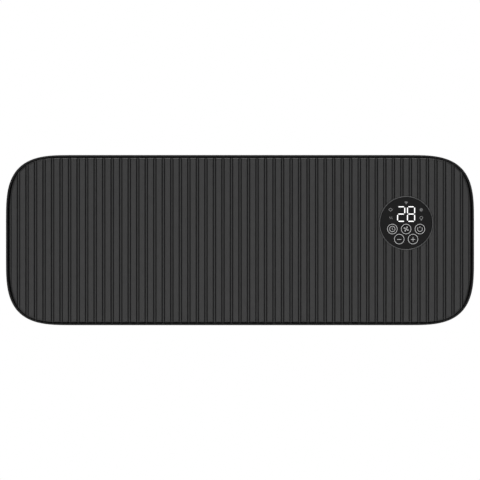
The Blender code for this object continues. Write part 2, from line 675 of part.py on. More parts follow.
def make_louvre(parent, heater):
    half = 149 * MM
    outline = [(LOUVRE.y + LOUVRE_CHORD / 2 * math.cos(a), LOUVRE.z + 1.7 * MM * math.sin(a))
               for a in (2 * math.pi * i / 16 for i in range(16))]
    blade = new_object("blade", prism(outline, "X", -half, half))
    fuse(blade, rod("X", LOUVRE, 4.5 * MM, -half, -half + 14 * MM, 20))
    fuse(blade, rod("X", LOUVRE, 4.5 * MM, half - 14 * MM, half, 20))
    fuse(blade, rod("X", LOUVRE, 2.5 * MM, half - 5 * MM, half + 8 * MM, 16))
    cut(blade, rod("X", LOUVRE, 2.8 * MM, -2 * half, -half + 10 * MM, 16))
    piece("louvre_blade", blade, "black_plastic", parent, LOUVRE)
    shaft = rod("X", LOUVRE, 2.5 * MM, -168 * MM, -half + 9 * MM, 16)
    piece("stepper_shaft", shaft, "brass", parent, LOUVRE)
    right = -DUCT_HALF - CHEEK - GAP
    stepper = new_object("stepper", rod("X", LOUVRE, 12 * MM, right - 18 * MM, right, 32))
    ears = (right - 0.5 * MM, LOUVRE.y, LOUVRE.z)
    fuse(stepper, centred_box(ears, (1 * MM, 34 * MM, 7 * MM)))
    cut(stepper, rod("X", LOUVRE, 2.8 * MM, -168.5 * MM, 0, 16))
    piece("louvre_stepper", stepper, "steel", heater)


# ---------------------------------------------------------------- electronics, switch and cord entry

def make_electronics(parent):
    board = box((BOARD_LEFT, BOARD_FRONT, -60 * MM), (BOARD_RIGHT, BOARD_BACK, 60 * MM))
    piece("main_board", board, "board_green", parent)
    blocks = {
        "heater_relay_1": ((186, 10), (16, 16, 20), "black_plastic"),
        "heater_relay_2": ((208, 10), (16, 16, 20), "black_plastic"),
        "supply_capacitor": ((230, -14), (14, 12, 24), "white_plastic"),
        "terminal_block": ((204, -50), (40, 14, 12), "white_plastic"),
    }
    for name, ((x, z), (wide, deep, tall), slot) in blocks.items():
        centre = Vector((x * MM, BOARD_FRONT - GAP - deep * MM / 2, z * MM))
        piece(name, centred_box(centre, (wide * MM, deep * MM, tall * MM)), slot, parent)


def make_leads(parent):
    """Inner leads: display to board, board to heating element, motor to board behind the airway."""
    display = [(195, -104.6, 5), (195, -92, 4), (195, -74, -8), (195, -52, -22), (195, -30.4, -25)]
    lead("display_cable", display, 1.8 * MM, parent)
    heater = [(167, -78, -53), (176, -78, -56), (190, -66, -54), (202, -56, -51), (204, -44.9, -50)]
    lead("heater_cable", heater, 2 * MM, parent)
    motor = [(-184, -29.4, 28), (-184, -18, 32), (-170, -12.5, 50), (-110, -12.5, 62), (0, -12.5, 64)]
    motor += [(110, -12.5, 62), (152, -12.5, 56), (168, -13, 42), (180, -19, 36), (182, -27.7, 35)]
    lead("motor_cable", motor, 2 * MM, parent)


def make_switch(parent, rocker):
    y = SWITCH.y
    body = new_object("body", box((248 * MM, y - 7 * MM, -14 * MM), (269.6 * MM, y + 7 * MM, 14 * MM)))
    fuse(body, box((269.3 * MM, y - 9.5 * MM, -16.5 * MM), (270.8 * MM, y + 9.5 * MM, 16.5 * MM)))
    cut(body, box((258 * MM, y - 6 * MM, -12.4 * MM), (WIDTH, y + 6 * MM, 12.4 * MM)))
    piece("power_switch", body, "black_plastic", parent)
    shape = [(-5, 0), (-3.5, -3), (1.2, -11.2), (4, -11.3), (2.2, 0), (4, 11.3), (1.2, 11.2), (-3.5, 3)]
    turn = Matrix.Rotation(ROCKER_TILT, 2)
    outline = [Vector((SWITCH.x, SWITCH.z)) + turn @ Vector((x * MM, z * MM)) for x, z in shape]
    paddle = prism(outline, "Y", y - 5.7 * MM, y + 5.7 * MM)
    piece("rocker_paddle", paddle, "black_plastic", rocker, SWITCH)


def make_cord_gland(parent):
    shelf = CORD_SHELF
    profile = [(9, shelf - 3 * MM), (9, shelf - GAP), (5.7, shelf - GAP), (5.7, shelf + 2.3 * MM)]
    profile += [(8.5, shelf + 2.3 * MM), (8.5, shelf + 6 * MM), (3.6, shelf + 6 * MM), (3.6, shelf - 3 * MM)]
    gland = turned("Z", CORD, [(radius * MM, z) for radius, z in profile], 24)
    piece("cord_gland", gland, "rubber", parent)


# ---------------------------------------------------------------- wall fixing

def make_wall_bracket():
    """Steel plate with two hooks that reach through the rear cover and turn up behind it."""
    plate = new_object("plate", box((-110 * MM, -SHEET, -40 * MM), (110 * MM, 0, 40 * MM)))
    reach = -8.5 * MM
    for x in (-HOOK_X, HOOK_X):
        arm = [(-SHEET / 2, HOOK_Z), (-SHEET / 2, HOOK_Z + SHEET), (reach + SHEET, HOOK_Z + SHEET)]
        arm += [(reach + SHEET, HOOK_Z + HOOK_RISE), (reach, HOOK_Z + HOOK_RISE), (reach, HOOK_Z)]
        fuse(plate, prism(arm, "X", x - 9 * MM, x + 9 * MM))
    for x in (-95 * MM, 95 * MM):
        for z in (-25 * MM, 25 * MM):
            cut(plate, rod("Y", (x, 0, z), 2.6 * MM, -10 * MM, 10 * MM, 16))
    piece("wall_bracket", plate, "steel", None, (0, 0, 0))


def make_wall_pads(parent):
    for side, name in ((-1, "left"), (1, "right")):
        pad = rod("Y", (side * 150 * MM, 0, -75 * MM), 8 * MM, BACK + GAP, -GAP, 24)
        piece(f"wall_pad_{name}", pad, "rubber", parent)


def build():
    clear_scene()
    make_wall_bracket()
    heater = empty("heater_lift", (0, 0, 0))
    make_front_panel(heater)
    make_front_housing(heater)
    make_rear_cover(heater)
    make_case_screws(heater)
    make_control_panel(heater)
    make_filter_cassette(empty("cassette_slide", (0, (INTAKE_FRONT + INTAKE_REAR) / 2, TRAY_LIP), heater))
    make_airway(heater)
    make_guard_grille(heater)
    make_impeller(empty("fan_axis", FAN, heater))
    make_motor(heater)
    make_heating_element(heater)
    make_louvre(empty("louvre_axis", LOUVRE, heater), heater)
    make_electronics(heater)
    make_leads(heater)
    make_switch(heater, empty("rocker_axis", SWITCH, heater))
    make_cord_gland(heater)
    make_wall_pads(heater)


build()
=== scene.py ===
"""Looks of the wall-mounted fan heater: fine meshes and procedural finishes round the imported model.

Metres, in the model's own frame: the front faces -Y, the wall is the plane y = 0 and +Z is up.
"""

import json
import math

import bmesh
import bpy
from mathutils import Matrix, Vector


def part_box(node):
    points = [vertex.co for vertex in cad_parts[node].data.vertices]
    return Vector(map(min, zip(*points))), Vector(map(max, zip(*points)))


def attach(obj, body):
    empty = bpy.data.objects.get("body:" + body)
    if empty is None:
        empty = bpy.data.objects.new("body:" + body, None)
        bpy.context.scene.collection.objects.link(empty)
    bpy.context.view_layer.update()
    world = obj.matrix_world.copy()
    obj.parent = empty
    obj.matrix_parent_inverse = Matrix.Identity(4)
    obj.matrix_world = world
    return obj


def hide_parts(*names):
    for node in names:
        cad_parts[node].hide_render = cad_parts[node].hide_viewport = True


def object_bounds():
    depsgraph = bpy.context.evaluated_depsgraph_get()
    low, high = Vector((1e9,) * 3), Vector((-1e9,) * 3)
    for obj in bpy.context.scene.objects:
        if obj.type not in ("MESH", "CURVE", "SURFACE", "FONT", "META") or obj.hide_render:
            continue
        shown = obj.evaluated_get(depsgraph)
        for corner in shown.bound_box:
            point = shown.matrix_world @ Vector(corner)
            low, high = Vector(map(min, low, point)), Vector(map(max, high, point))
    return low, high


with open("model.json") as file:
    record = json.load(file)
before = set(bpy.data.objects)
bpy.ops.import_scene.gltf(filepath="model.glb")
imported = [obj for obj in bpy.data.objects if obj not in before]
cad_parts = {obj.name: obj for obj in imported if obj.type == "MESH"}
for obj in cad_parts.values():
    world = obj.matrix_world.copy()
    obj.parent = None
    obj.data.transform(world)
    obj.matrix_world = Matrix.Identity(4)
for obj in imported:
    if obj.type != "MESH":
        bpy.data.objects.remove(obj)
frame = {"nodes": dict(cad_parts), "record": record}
cad_low, cad_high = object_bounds()

MM = 0.001
SLIVER = 0.003 * MM             # points closer together than this become one
PAST = 5 * MM                   # how far a cutter reaches past the surface that it opens
EDGE_STEPS = 4                  # steps round the rounded edge of a solid
MOUTH_STEPS = 3                 # steps round the rounded edge of an opening
SHARP_ANGLE = 32                # edges that bend more than this, in degrees, stay sharp

# Case
CASE_POWER = 3.2                # exponent of the superellipse corners: 2 would be circles
CASE_REACH = 77.5 * MM          # length of side that each corner of the case takes up
CASE_STEPS = 26                 # steps round each of those corners, and of the panel's
WALL = 2.4 * MM                 # thickness of the case's walls
GAP = 0.3 * MM                  # clearance between parts that meet
LAP = 3 * MM                    # overlap of the front housing and the rear cover
SCREW_SPOTS = [(sx * 260 * MM, sz * 40 * MM) for sx in (-1, 1) for sz in (-1, 1)]
HOOK_SPOTS = (-70 * MM, 70 * MM)    # the bracket's hooks, and their slots in the rear cover

# Front panel and its flutes
PANEL_REACH = 68 * MM           # length of side that each corner of the panel takes up
PANEL_EDGE = 2 * MM             # radius of its front edge
PANEL_SHEET = 4 * MM            # its thickness, with the ribs
PANEL_SEAT = 14 * MM            # inner edge of the flange that it rests on
CONTROL_STEPS = 120             # steps round its hole, the lens and the bezel
CLIP_SPOTS = (-120 * MM, 0, 120 * MM)
RIB_PITCH = 10 * MM
RIB_COUNT = 54
RIB_LAND = 6 * MM               # flat top of a rib
RIB_BASE = 8.4 * MM             # width of a rib at the floor of the grooves
GROOVE_DEPTH = 1.8 * MM

# Marks on the control panel, in millimetres from its centre
BUTTON_SPOTS = {"timer": (-16.2, -7.0), "fan": (0, -7.0), "power": (16.2, -7.0),
                "less": (-8.1, -18.8), "more": (8.1, -18.8)}
DIGITS_HEIGHT = 10.6            # middle of the two digits above the panel's centre
DIGIT_PITCH = 11.6
SEGMENT_COLUMN = 4.2            # upright segments, left and right of a digit's middle
SEGMENT_ROW = 8.5               # rows of flat segments, above and below its middle
SEGMENT_WIDTH = 1.15
BUTTON_RADIUS = 5.7
STROKE = 0.42                   # lines of the buttons and their symbols
ICON_STROKE = 0.4               # lines of the small icons
MARK_FRONT = 0.04 * MM          # how far every mark stands out of the lens
MARK_ROOT = 0.02 * MM           # and how far it goes into it

# Camera: a long lens, square on, whose frame is this wide where the panel is
VIEW_WIDTH = 563.3 * MM
VIEW_RISE = 0.12 * MM           # the heater sits this far below the middle of the frame
FOCAL_LENGTH = 135              # in millimetres, like the sensor's width
SENSOR_WIDTH = 36

# Rocker of the switch
ROCKER_AXIS = 267 * MM          # its axis is at this x and at mid height
ROCKER_TILT = math.radians(9)   # at rest it is on, with its upper half pressed in
ROCKER_DIP = 2.2                # middle of its hollow face, in millimetres from the axis
ROCKER_TIP = (4, 11.3)          # end of that face

# Floor and room
FLOOR_LEVEL = -0.62
FLOOR_RADIUS = 2.3
FLOOR_FADE = (0.9, 2.2)         # distances at which it begins and ends to fade out
ROOM_LIGHT = 0.05               # strength of the even light from all round


# ---- outlines

def outline(half_a, half_b, reach, steps=5, power=2.0):
    """Points round a rectangle whose corners are superellipse arcs."""
    points = []
    for side_a, side_b, rising in ((1, 1, True), (-1, 1, False), (-1, -1, True), (1, -1, False)):
        for step in range(steps + 1):
            part = step / steps if rising else 1 - step / steps
            angle = part * math.pi / 2
            along_a = max(math.cos(angle), 0) ** (2 / power)
            along_b = math.sin(angle) ** (2 / power)
            points.append((side_a * (half_a - reach + reach * along_a),
                           side_b * (half_b - reach + reach * along_b)))
    return points


def case_loops(stations, half=(cad_high.x, cad_high.z), reach=CASE_REACH):
    """Loops with the case's outline, or the panel's, from (inset, distance along Y) stations."""
    loops = []
    for inset, y in stations:
        points = outline(half[0] - inset, half[1] - inset, reach - inset, CASE_STEPS, CASE_POWER)
        loops.append([place(point, "Y", y) for point in points])
    return loops


def plan(low, high):
    """Middle and half size, as seen from above, of a box that is centred on x = 0."""
    return (0, (low.y + high.y) / 2), (high.x, (high.y - low.y) / 2)


def arc(centre, radius, start, end, steps):
    """Points on a circle, from one angle to another, in degrees."""
    turns = [math.radians(start + (end - start) * step / steps) for step in range(steps + 1)]
    return [(centre[0] + radius * math.cos(a), centre[1] + radius * math.sin(a)) for a in turns]


def fillet(corners, steps=4):
    """Rounds a closed outline given as (first, second, radius) corners."""
    points = []
    count = len(corners)
    for i, (first, second, radius) in enumerate(corners):
        here = Vector((first, second))
        before = Vector(corners[i - 1][:2]) - here
        after = Vector(corners[(i + 1) % count][:2]) - here
        if not radius:
            points.append(tuple(here))
            continue
        half = before.angle(after) / 2
        reach = min(radius / math.tan(half), 0.49 * before.length, 0.49 * after.length)
        middle = here + (before.normalized() + after.normalized()).normalized() * reach / math.cos(half)
        start = here + before.normalized() * reach - middle
        end = here + after.normalized() * reach - middle
        turn = start.angle(end)
        for step in range(steps + 1):
            part = step / steps
            swept = start * math.sin((1 - part) * turn) + end * math.sin(part * turn)
            points.append(tuple(middle + swept / math.sin(turn)))
    return points


def sheet_outline(line, thickness):
    """Closed outline of a strip of even width, whose middle follows the 2-D line."""
    points = [Vector(point) for point in line]
    left, right = [], []
    for i, point in enumerate(points):
        before = (point - points[i - 1]).normalized() if i else None
        after = (points[i + 1] - point).normalized() if i + 1 < len(points) else None
        before = before or after
        after = after or before
        side = Vector((-(before + after).y, (before + after).x)).normalized()
        reach = thickness / 2 / max(side.dot(Vector((-after.y, after.x))), 0.5)
        left.append(point + side * reach)
        right.append(point - side * reach)
    return [tuple(p) for p in left] + [tuple(p) for p in reversed(right)]


# ---- solids

def place(point, axis, along):
    """Puts a 2-D point, given in the plane across the axis, at a distance along the axis."""
    first, second = point
    if axis == "X":
        return (along, first, second)
    if axis == "Y":
        return (first, along, second)
    return (first, second, along)


def loft(bm, loops, ring=False):
    """Skins a stack of loops. A ring joins its last loop to its first, anything else gets caps."""
    rows = [[bm.verts.new(point) for point in loop] for loop in loops]
    pairs = list(zip(rows, rows[1:]))
    if ring:
        pairs.append((rows[-1], rows[0]))
    for low, high in pairs:
        count = len(low)
        for i in range(count):
            j = (i + 1) % count
            bm.faces.new((low[i], low[j], high[j], high[i]))
    if not ring:
        bm.faces.new(rows[0])
        bm.faces.new(rows[-1])
    return bm


def prism(points, axis, low, high, bm=None):
    """Straight solid with this outline, from low to high along the axis."""
    target = bm or bmesh.new()
    return loft(target, [[place(p, axis, along) for p in points] for along in (low, high)])


def turned(axis, centre, profile, steps, ring=False, bm=None):
    """Revolves (radius, distance along the axis) points round an axis through centre."""
    across = {"X": (1, 2), "Y": (0, 2), "Z": (0, 1)}[axis]
    spot = (centre[across[0]], centre[across[1]])
    loops = []
    for radius, along in profile:
        loops.append([place(p, axis, along) for p in arc(spot, radius, 0, 360, steps)[:-1]])
    return loft(bm or bmesh.new(), loops, ring)


def rod(axis, centre, radius, low, high, edge=0, steps=40):
    """A round bar whose ends have rounded edges."""
    profile = [(radius + grow, along) for along, grow in ends(low, high, edge, edge)]
    return turned(axis, centre, profile, steps)


def end_stations(end, edge, inward):
    """(distance, growth) of the loops that round off one end of a solid."""
    if not edge:
        return [(end, 0)]
    stations = []
    for step in range(EDGE_STEPS + 1):
        angle = step / EDGE_STEPS * math.pi / 2
        stations.append((end + inward * edge * (1 - math.cos(angle)), edge * (math.sin(angle) - 1)))
    return stations


def ends(low, high, edge_low, edge_high):
    """Stations of a solid from low to high, with an edge radius at either end."""
    return end_stations(low, edge_low, 1) + end_stations(high, edge_high, -1)[::-1]


def mouth(deep, surface, edge):
    """Stations of a cutter that comes up from deep and rounds the edge of its opening."""
    side = 1 if surface > deep else -1
    stations = [(deep, 0)]
    for step in range(MOUTH_STEPS + 1):
        angle = step / MOUTH_STEPS * math.pi / 2
        stations.append((surface - side * edge * (1 - math.sin(angle)), edge * (1 - math.cos(angle))))
    return stations + [(surface + side * PAST, edge)]


def block(axis, centre, half, corner, stations, bm=None):
    """A box with rounded upright corners, whose size grows or shrinks by each station's growth."""
    loops = []
    for along, grow in stations:
        reach = max(corner + grow, 0.02 * MM)
        points = outline(half[0] + grow, half[1] + grow, reach)
        loops.append([place((centre[0] + a, centre[1] + b), axis, along) for a, b in points])
    return loft(bm or bmesh.new(), loops)


def box(low, high, bm):
    """Adds a plain box with these two corners to a bmesh."""
    corners = [(low[0], low[1]), (high[0], low[1]), (high[0], high[1]), (low[0], high[1])]
    prism(corners, "Z", low[2], high[2], bm)


# ---- objects

def add_object(name, data):
    """Adds an object to the scene that shows this mesh, light or camera."""
    made = bpy.data.objects.new(name, data)
    bpy.context.scene.collection.objects.link(made)
    return made


def new_object(name, bm):
    """Turns a bmesh into an object of the scene, with its faces outwards."""
    bmesh.ops.recalc_face_normals(bm, faces=bm.faces)
    mesh = bpy.data.meshes.new(name)
    bm.to_mesh(mesh)
    bm.free()
    return add_object(name, mesh)


def combine(target, tool, operation):
    """Applies an exact Boolean between the target, an object, and the tool, a bmesh."""
    helper = new_object("tool", tool)
    modifier = target.modifiers.new("Boolean", "BOOLEAN")
    modifier.object = helper
    modifier.operation = operation
    modifier.solver = "EXACT"
    bpy.context.view_layer.update()
    evaluated = target.evaluated_get(bpy.context.evaluated_depsgraph_get())
    mesh = bpy.data.meshes.new_from_object(evaluated)
    target.modifiers.clear()
    target.data = mesh
    bpy.data.objects.remove(helper, do_unlink=True)


def cut(target, tool):
    combine(target, tool, "DIFFERENCE")


def fuse(target, tool):
    combine(target, tool, "UNION")


def drop_slivers(mesh):
    """Joins the points that a Boolean leaves almost in one place, and drops the faces between them."""
    bm = bmesh.new()
    bm.from_mesh(mesh)
    bmesh.ops.triangulate(bm, faces=[face for face in bm.faces if len(face.verts) > 4])
    bmesh.ops.remove_doubles(bm, verts=bm.verts, dist=SLIVER)
    bmesh.ops.dissolve_degenerate(bm, dist=SLIVER, edges=bm.edges)
    bm.to_mesh(mesh)
    bm.free()


def piece(name, source, slot, body, *nodes, finish=None):
    """Finishes a piece: shading, material, the body it rides on and the nodes that it stands for."""
    made = source if isinstance(source, bpy.types.Object) else new_object(name, source)
    made.name = name
    drop_slivers(made.data)
    made.data.materials.clear()
    made.data.materials.append(MATERIALS[finish or slot])
    made.data.shade_smooth()
    made.data.set_sharp_from_angle(angle=math.radians(SHARP_ANGLE))
    weighted = made.modifiers.new("Weighted", "WEIGHTED_NORMAL")
    weighted.keep_sharp = True
    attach(made, body)
    if nodes:
        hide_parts(*nodes)


# ---- materials

class Nodes:
    """A material's node tree, with short calls for the nodes that the finishes share."""

    def __init__(self):
        self.material = bpy.data.materials.new("finish")
        self.material.use_nodes = True
        self.tree = self.material.node_tree
        self.shader = self.tree.nodes["Principled BSDF"]
        self.place = self.tree.nodes.new("ShaderNodeTexCoord").outputs["Object"]

    def add(self, kind, links=(), **values):
        """Adds a node, sets its values, and links or sets its inputs."""
        node = self.tree.nodes.new(kind)
        for key, value in values.items():
            setattr(node, key, value)
        for socket, source in dict(links).items():
            if isinstance(source, bpy.types.NodeSocket):
                self.tree.links.new(source, node.inputs[socket])
            else:
                node.inputs[socket].default_value = source
        return node

    def noise(self, size, detail, stretch=None):
        """Noise with features of about this size in metres, which may be stretched along an axis."""
        place = self.place
        if stretch:
            place = self.add("ShaderNodeMapping", {"Vector": place, "Scale": stretch}).outputs["Vector"]
        links = {"Vector": place, "Scale": 1 / size, "Detail": detail}
        return self.add("ShaderNodeTexNoise", links).outputs["Fac"]

    def spread(self, factor, low, high):
        """Maps the middle of a noise's range onto low to high."""
        links = {"Value": factor, "From Min": 0.3, "From Max": 0.7, "To Min": low, "To Max": high}
        return self.add("ShaderNodeMapRange", links).outputs["Result"]

    def tint(self, factor, dark, light):
        """A colour between two, by a factor. Sockets 6, 7 and 2 are the mix node's colour ones."""
        mix = self.add("ShaderNodeMix", {"Factor": factor}, data_type="RGBA")
        mix.inputs[6].default_value = (*dark, 1)
        mix.inputs[7].default_value = (*light, 1)
        return mix.outputs[2]

    def bump(self, height, depth):
        """Normal of a surface whose relief has this depth in metres."""
        links = {"Height": height, "Distance": depth}
        return self.add("ShaderNodeBump", links).outputs["Normal"]

    def plug(self, **sockets):
        """Links or sets the shader's own sockets, whose names are given with underscores."""
        for key, value in sockets.items():
            socket = self.shader.inputs[key.replace("_", " ")]
            if isinstance(value, bpy.types.NodeSocket):
                self.tree.links.new(value, socket)
            else:
                socket.default_value = value
        return self.material


def shade(colour, factor):
    """The colour made darker or lighter."""
    return tuple(min(channel * factor, 1) for channel in colour)


def moulded(colour, rough, grain=0.45, depth=0.012, level=0.5):
    """Moulded plastic: a fine eroded grain, and faint cloudiness in its colour and gloss.

    The grain's size and depth are in millimetres, and level is the strength of its reflections.
    """
    nodes = Nodes()
    cloud = nodes.noise(38 * MM, 4)
    fine = nodes.noise(grain * MM, 2)
    colour_in = nodes.tint(cloud, shade(colour, 0.96), shade(colour, 1.04))
    gloss = nodes.spread(nodes.noise(9 * MM, 4), rough - 0.02, rough + 0.02)
    normal = nodes.bump(fine, depth * MM)
    return nodes.plug(Base_Color=colour_in, Roughness=gloss, Normal=normal, Specular_IOR_Level=level)


def metal(colour, rough):
    """Rolled or turned metal: fine lines in one direction, and a few duller patches."""
    nodes = Nodes()
    lines = nodes.noise(0.35 * MM, 2, stretch=(0.04, 1, 1))
    patches = nodes.noise(22 * MM, 4)
    colour_in = nodes.tint(patches, shade(colour, 0.9), shade(colour, 1.06))
    gloss = nodes.spread(lines, rough - 0.06, rough + 0.08)
    normal = nodes.bump(lines, 0.004 * MM)
    return nodes.plug(Base_Color=colour_in, Roughness=gloss, Normal=normal, Metallic=1.0)


def galvanised():
    """Zinc-coated sheet: crystals that differ a little in brightness and gloss."""
    nodes = Nodes()
    crystals_per_metre = 240.0
    links = {"Vector": nodes.place, "Scale": crystals_per_metre}
    crystals = nodes.add("ShaderNodeTexVoronoi", links, feature="F1").outputs["Color"]
    spangle = nodes.add("ShaderNodeSeparateColor", {"Color": crystals}).outputs["Red"]
    colour_in = nodes.tint(spangle, (0.46, 0.47, 0.48), (0.56, 0.57, 0.58))
    gloss = nodes.spread(nodes.noise(1.2 * MM, 4), 0.36, 0.46)
    normal = nodes.bump(nodes.noise(0.5 * MM, 3), 0.006 * MM)
    return nodes.plug(Base_Color=colour_in, Roughness=gloss, Normal=normal, Metallic=1.0)


def glossy_lens():
    """Black window of the display: polished, with the faintest haze in its gloss."""
    nodes = Nodes()
    haze = nodes.noise(14 * MM, 5)
    colour_in = nodes.tint(haze, (0.0042, 0.0042, 0.0045), (0.0050, 0.0050, 0.0053))
    gloss = nodes.spread(haze, 0.07, 0.1)
    return nodes.plug(Base_Color=colour_in, Roughness=gloss, Specular_IOR_Level=0.09)


def lit_mark(glow, strength):
    """Printed mark with light behind it, a little uneven as a light guide is."""
    nodes = Nodes()
    uneven = nodes.noise(3 * MM, 2)
    light = nodes.tint(uneven, shade(glow, 0.96), shade(glow, 1.0))
    ink = nodes.tint(uneven, shade(glow, 0.2), shade(glow, 0.24))
    gloss = nodes.spread(uneven, 0.42, 0.5)
    return nodes.plug(Base_Color=ink, Emission_Color=light, Emission_Strength=strength, Roughness=gloss)


def winding():
    """Enamelled copper wire, as fine ridges round the motor's axis."""
    nodes = Nodes()
    links = {"Vector": nodes.place, "Scale": 700.0, "Distortion": 0.6}
    wires = nodes.add("ShaderNodeTexWave", links, bands_direction="X").outputs["Fac"]
    colour_in = nodes.tint(wires, (0.3, 0.11, 0.04), (0.62, 0.28, 0.12))
    normal = nodes.bump(wires, 0.1 * MM)
    return nodes.plug(Base_Color=colour_in, Roughness=0.35, Metallic=0.8, Normal=normal)


def circuit_board():
    """Solder resist over copper: paler tracks in short straight runs."""
    nodes = Nodes()
    links = {"Vector": nodes.place, "Scale": 260.0}
    cells = nodes.add("ShaderNodeTexVoronoi", links, distance="MANHATTAN", feature="F1")
    tracks = nodes.spread(cells.outputs["Distance"], 0.0, 1.0)
    colour_in = nodes.tint(tracks, (0.008, 0.085, 0.035), (0.02, 0.17, 0.075))
    normal = nodes.bump(tracks, 0.03 * MM)
    return nodes.plug(Base_Color=colour_in, Roughness=0.4, Normal=normal)


def pale_floor():
    """Plain pale floor that fades out towards its edge, and can't be seen from below."""
    nodes = Nodes()
    far = nodes.add("ShaderNodeVectorMath", {0: nodes.place}, operation="LENGTH").outputs["Value"]
    start, end = FLOOR_FADE
    links = {"Value": far, "From Min": start, "From Max": end, "To Min": 1.0, "To Max": 0.0}
    fade = nodes.add("ShaderNodeMapRange", links, interpolation_type="SMOOTHSTEP").outputs["Result"]
    below = nodes.add("ShaderNodeNewGeometry").outputs["Backfacing"]
    above = nodes.add("ShaderNodeMath", {0: 1.0, 1: below}, operation="SUBTRACT").outputs["Value"]
    alpha = nodes.add("ShaderNodeMath", {0: fade, 1: above}, operation="MULTIPLY").outputs["Value"]
    speckle = nodes.tint(nodes.noise(60 * MM, 5), (0.86, 0.86, 0.86), (0.9, 0.9, 0.9))
    return nodes.plug(Base_Color=speckle, Roughness=0.9, Alpha=alpha)


MATERIALS = {
    "charcoal_plastic": moulded((0.016, 0.016, 0.0163), 0.45, depth=0.022),
    "case_plastic": moulded((0.012, 0.012, 0.0122), 0.6, 0.6, 0.05, level=0.36),
    "black_plastic": moulded((0.016, 0.016, 0.017), 0.42, 0.3, 0.02),
    "lens_black": glossy_lens(),
    "bezel_metal": metal((0.13, 0.13, 0.132), 0.44),
    "filter_mesh": moulded((0.07, 0.07, 0.075), 0.7, grain=0.2),
    "steel": metal((0.56, 0.57, 0.58), 0.3),
    "zinc_sheet": galvanised(),
    "aluminium": metal((0.78, 0.79, 0.8), 0.34),
    "brass": metal((0.76, 0.55, 0.24), 0.28),
    "copper_winding": winding(),
    "rubber": moulded((0.018, 0.018, 0.018), 0.72, 0.25, 0.02, level=0.35),
    "board_green": circuit_board(),
    "white_plastic": moulded((0.74, 0.74, 0.71), 0.42),
    "cable_grey": moulded((0.26, 0.26, 0.27), 0.55, grain=0.6),
    "led_white": lit_mark((1.0, 1.0, 1.0), 1.25),
    "mark_lit": lit_mark((1.0, 1.0, 1.0), 0.54),
    "mark_dim": lit_mark((1.0, 1.0, 1.0), 0.15),
    "pale_floor": pale_floor(),
}
for name, material in MATERIALS.items():
    material.name = name


def finish_model_nodes():
    """Gives every carried-over node the procedural finish of its slot in the record."""
    for part in frame["record"]["subparts"]:
        node = frame["nodes"][part["node"]]
        node.material_slots[0].material = MATERIALS[part["material_slot"]]


# ---- front panel

def flute_profile(front, back, half):
    """Closed section (x, y) of the panel: flat lands with soft shoulders, and narrow grooves."""
    shoulder, foot = 0.35 * MM, 0.6 * MM
    floor = front + GROOVE_DEPTH
    corners = [(-half, back, 0), (-half, floor, 0)]
    for i in range(RIB_COUNT):
        middle = (i - (RIB_COUNT - 1) / 2) * RIB_PITCH
        corners += [(middle - RIB_BASE / 2, floor, foot), (middle - RIB_LAND / 2, front, shoulder),
                    (middle + RIB_LAND / 2, front, shoulder), (middle + RIB_BASE / 2, floor, foot)]
    return fillet(corners + [(half, floor, 0), (half, back, 0)], 3)


def make_panel():
    """Fluted panel with a rounded front edge, clips on its back and a round hole for the controls."""
    low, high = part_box("front_panel")
    back = low.y + PANEL_SHEET
    panel = new_object("panel", prism(flute_profile(low.y, back, high.x), "Z", -high.z, high.z))
    just_proud = 0.02 * MM
    stations = [(-grow, y) for y, grow in ends(low.y - just_proud, back, PANEL_EDGE, 0)]
    rounded = loft(bmesh.new(), case_loops(stations, (high.x, high.z), PANEL_REACH))
    combine(panel, rounded, "INTERSECT")
    for side in (-1, 1):
        for x in CLIP_SPOTS:
            fuse(panel, panel_clip(x, side, back, high.y))
    centre, radius = control_spot()
    hole = [(radius + GAP + grow, along) for along, grow in mouth(PAST, low.y, 0.3 * MM)]
    cut(panel, turned("Y", centre, hole, CONTROL_STEPS))
    piece("fluted_panel", panel, "charcoal_plastic", "heater", "front_panel")


def panel_clip(x, side, back, tip):
    """Barbed hook on the panel's back that grips the edge of the housing's flange."""
    edge = cad_high.z - PANEL_SEAT - GAP
    root, inner = back - 1 * MM, edge - 2 * MM
    catch, barb, half_width = back + 2.6 * MM, edge + 1.5 * MM, 6 * MM
    corners = [(root, inner, 0), (root, edge, 0), (catch, edge, 0), (catch, barb, 0.2 * MM),
               (tip, edge, 0.3 * MM), (tip, inner, 0.3 * MM)]
    return prism([(y, side * z) for y, z in fillet(corners)], "X", x - half_width, x + half_width)


# ---- control panel

def control_spot():
    """Centre of the round control panel, on the lens's face, and the radius of its bezel."""
    low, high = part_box("lens_bezel")
    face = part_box("control_lens")[0].y
    return Vector(((low.x + high.x) / 2, face, (low.z + high.z) / 2)), (high.x - low.x) / 2


def make_lens():
    """Round black window over the display and the touch buttons."""
    low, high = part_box("control_lens")
    centre = control_spot()[0]
    lens = rod("Y", centre, (high.x - low.x) / 2, low.y, high.y, 0.3 * MM, CONTROL_STEPS)
    piece("lens_window", lens, "lens_black", "heater", "control_lens")


def make_bezel():
    """Thin ring round the lens, with a shelf behind it that the lens rests on."""
    low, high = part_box("lens_bezel")
    centre, outer = control_spot()
    inner, shelf, step = outer - 0.9 * MM, outer - 3.1 * MM, low.y + 2.8 * MM
    corners = [(outer, low.y, 0.2 * MM), (inner, low.y, 0.3 * MM), (inner, step, 0.1 * MM),
               (shelf, step, 0.2 * MM), (shelf, high.y, 0.1 * MM), (outer, high.y, 0.1 * MM)]
    bezel = turned("Y", centre, fillet(corners, 3), CONTROL_STEPS, ring=True)
    piece("bezel_ring", bezel, "bezel_metal", "heater", "lens_bezel")


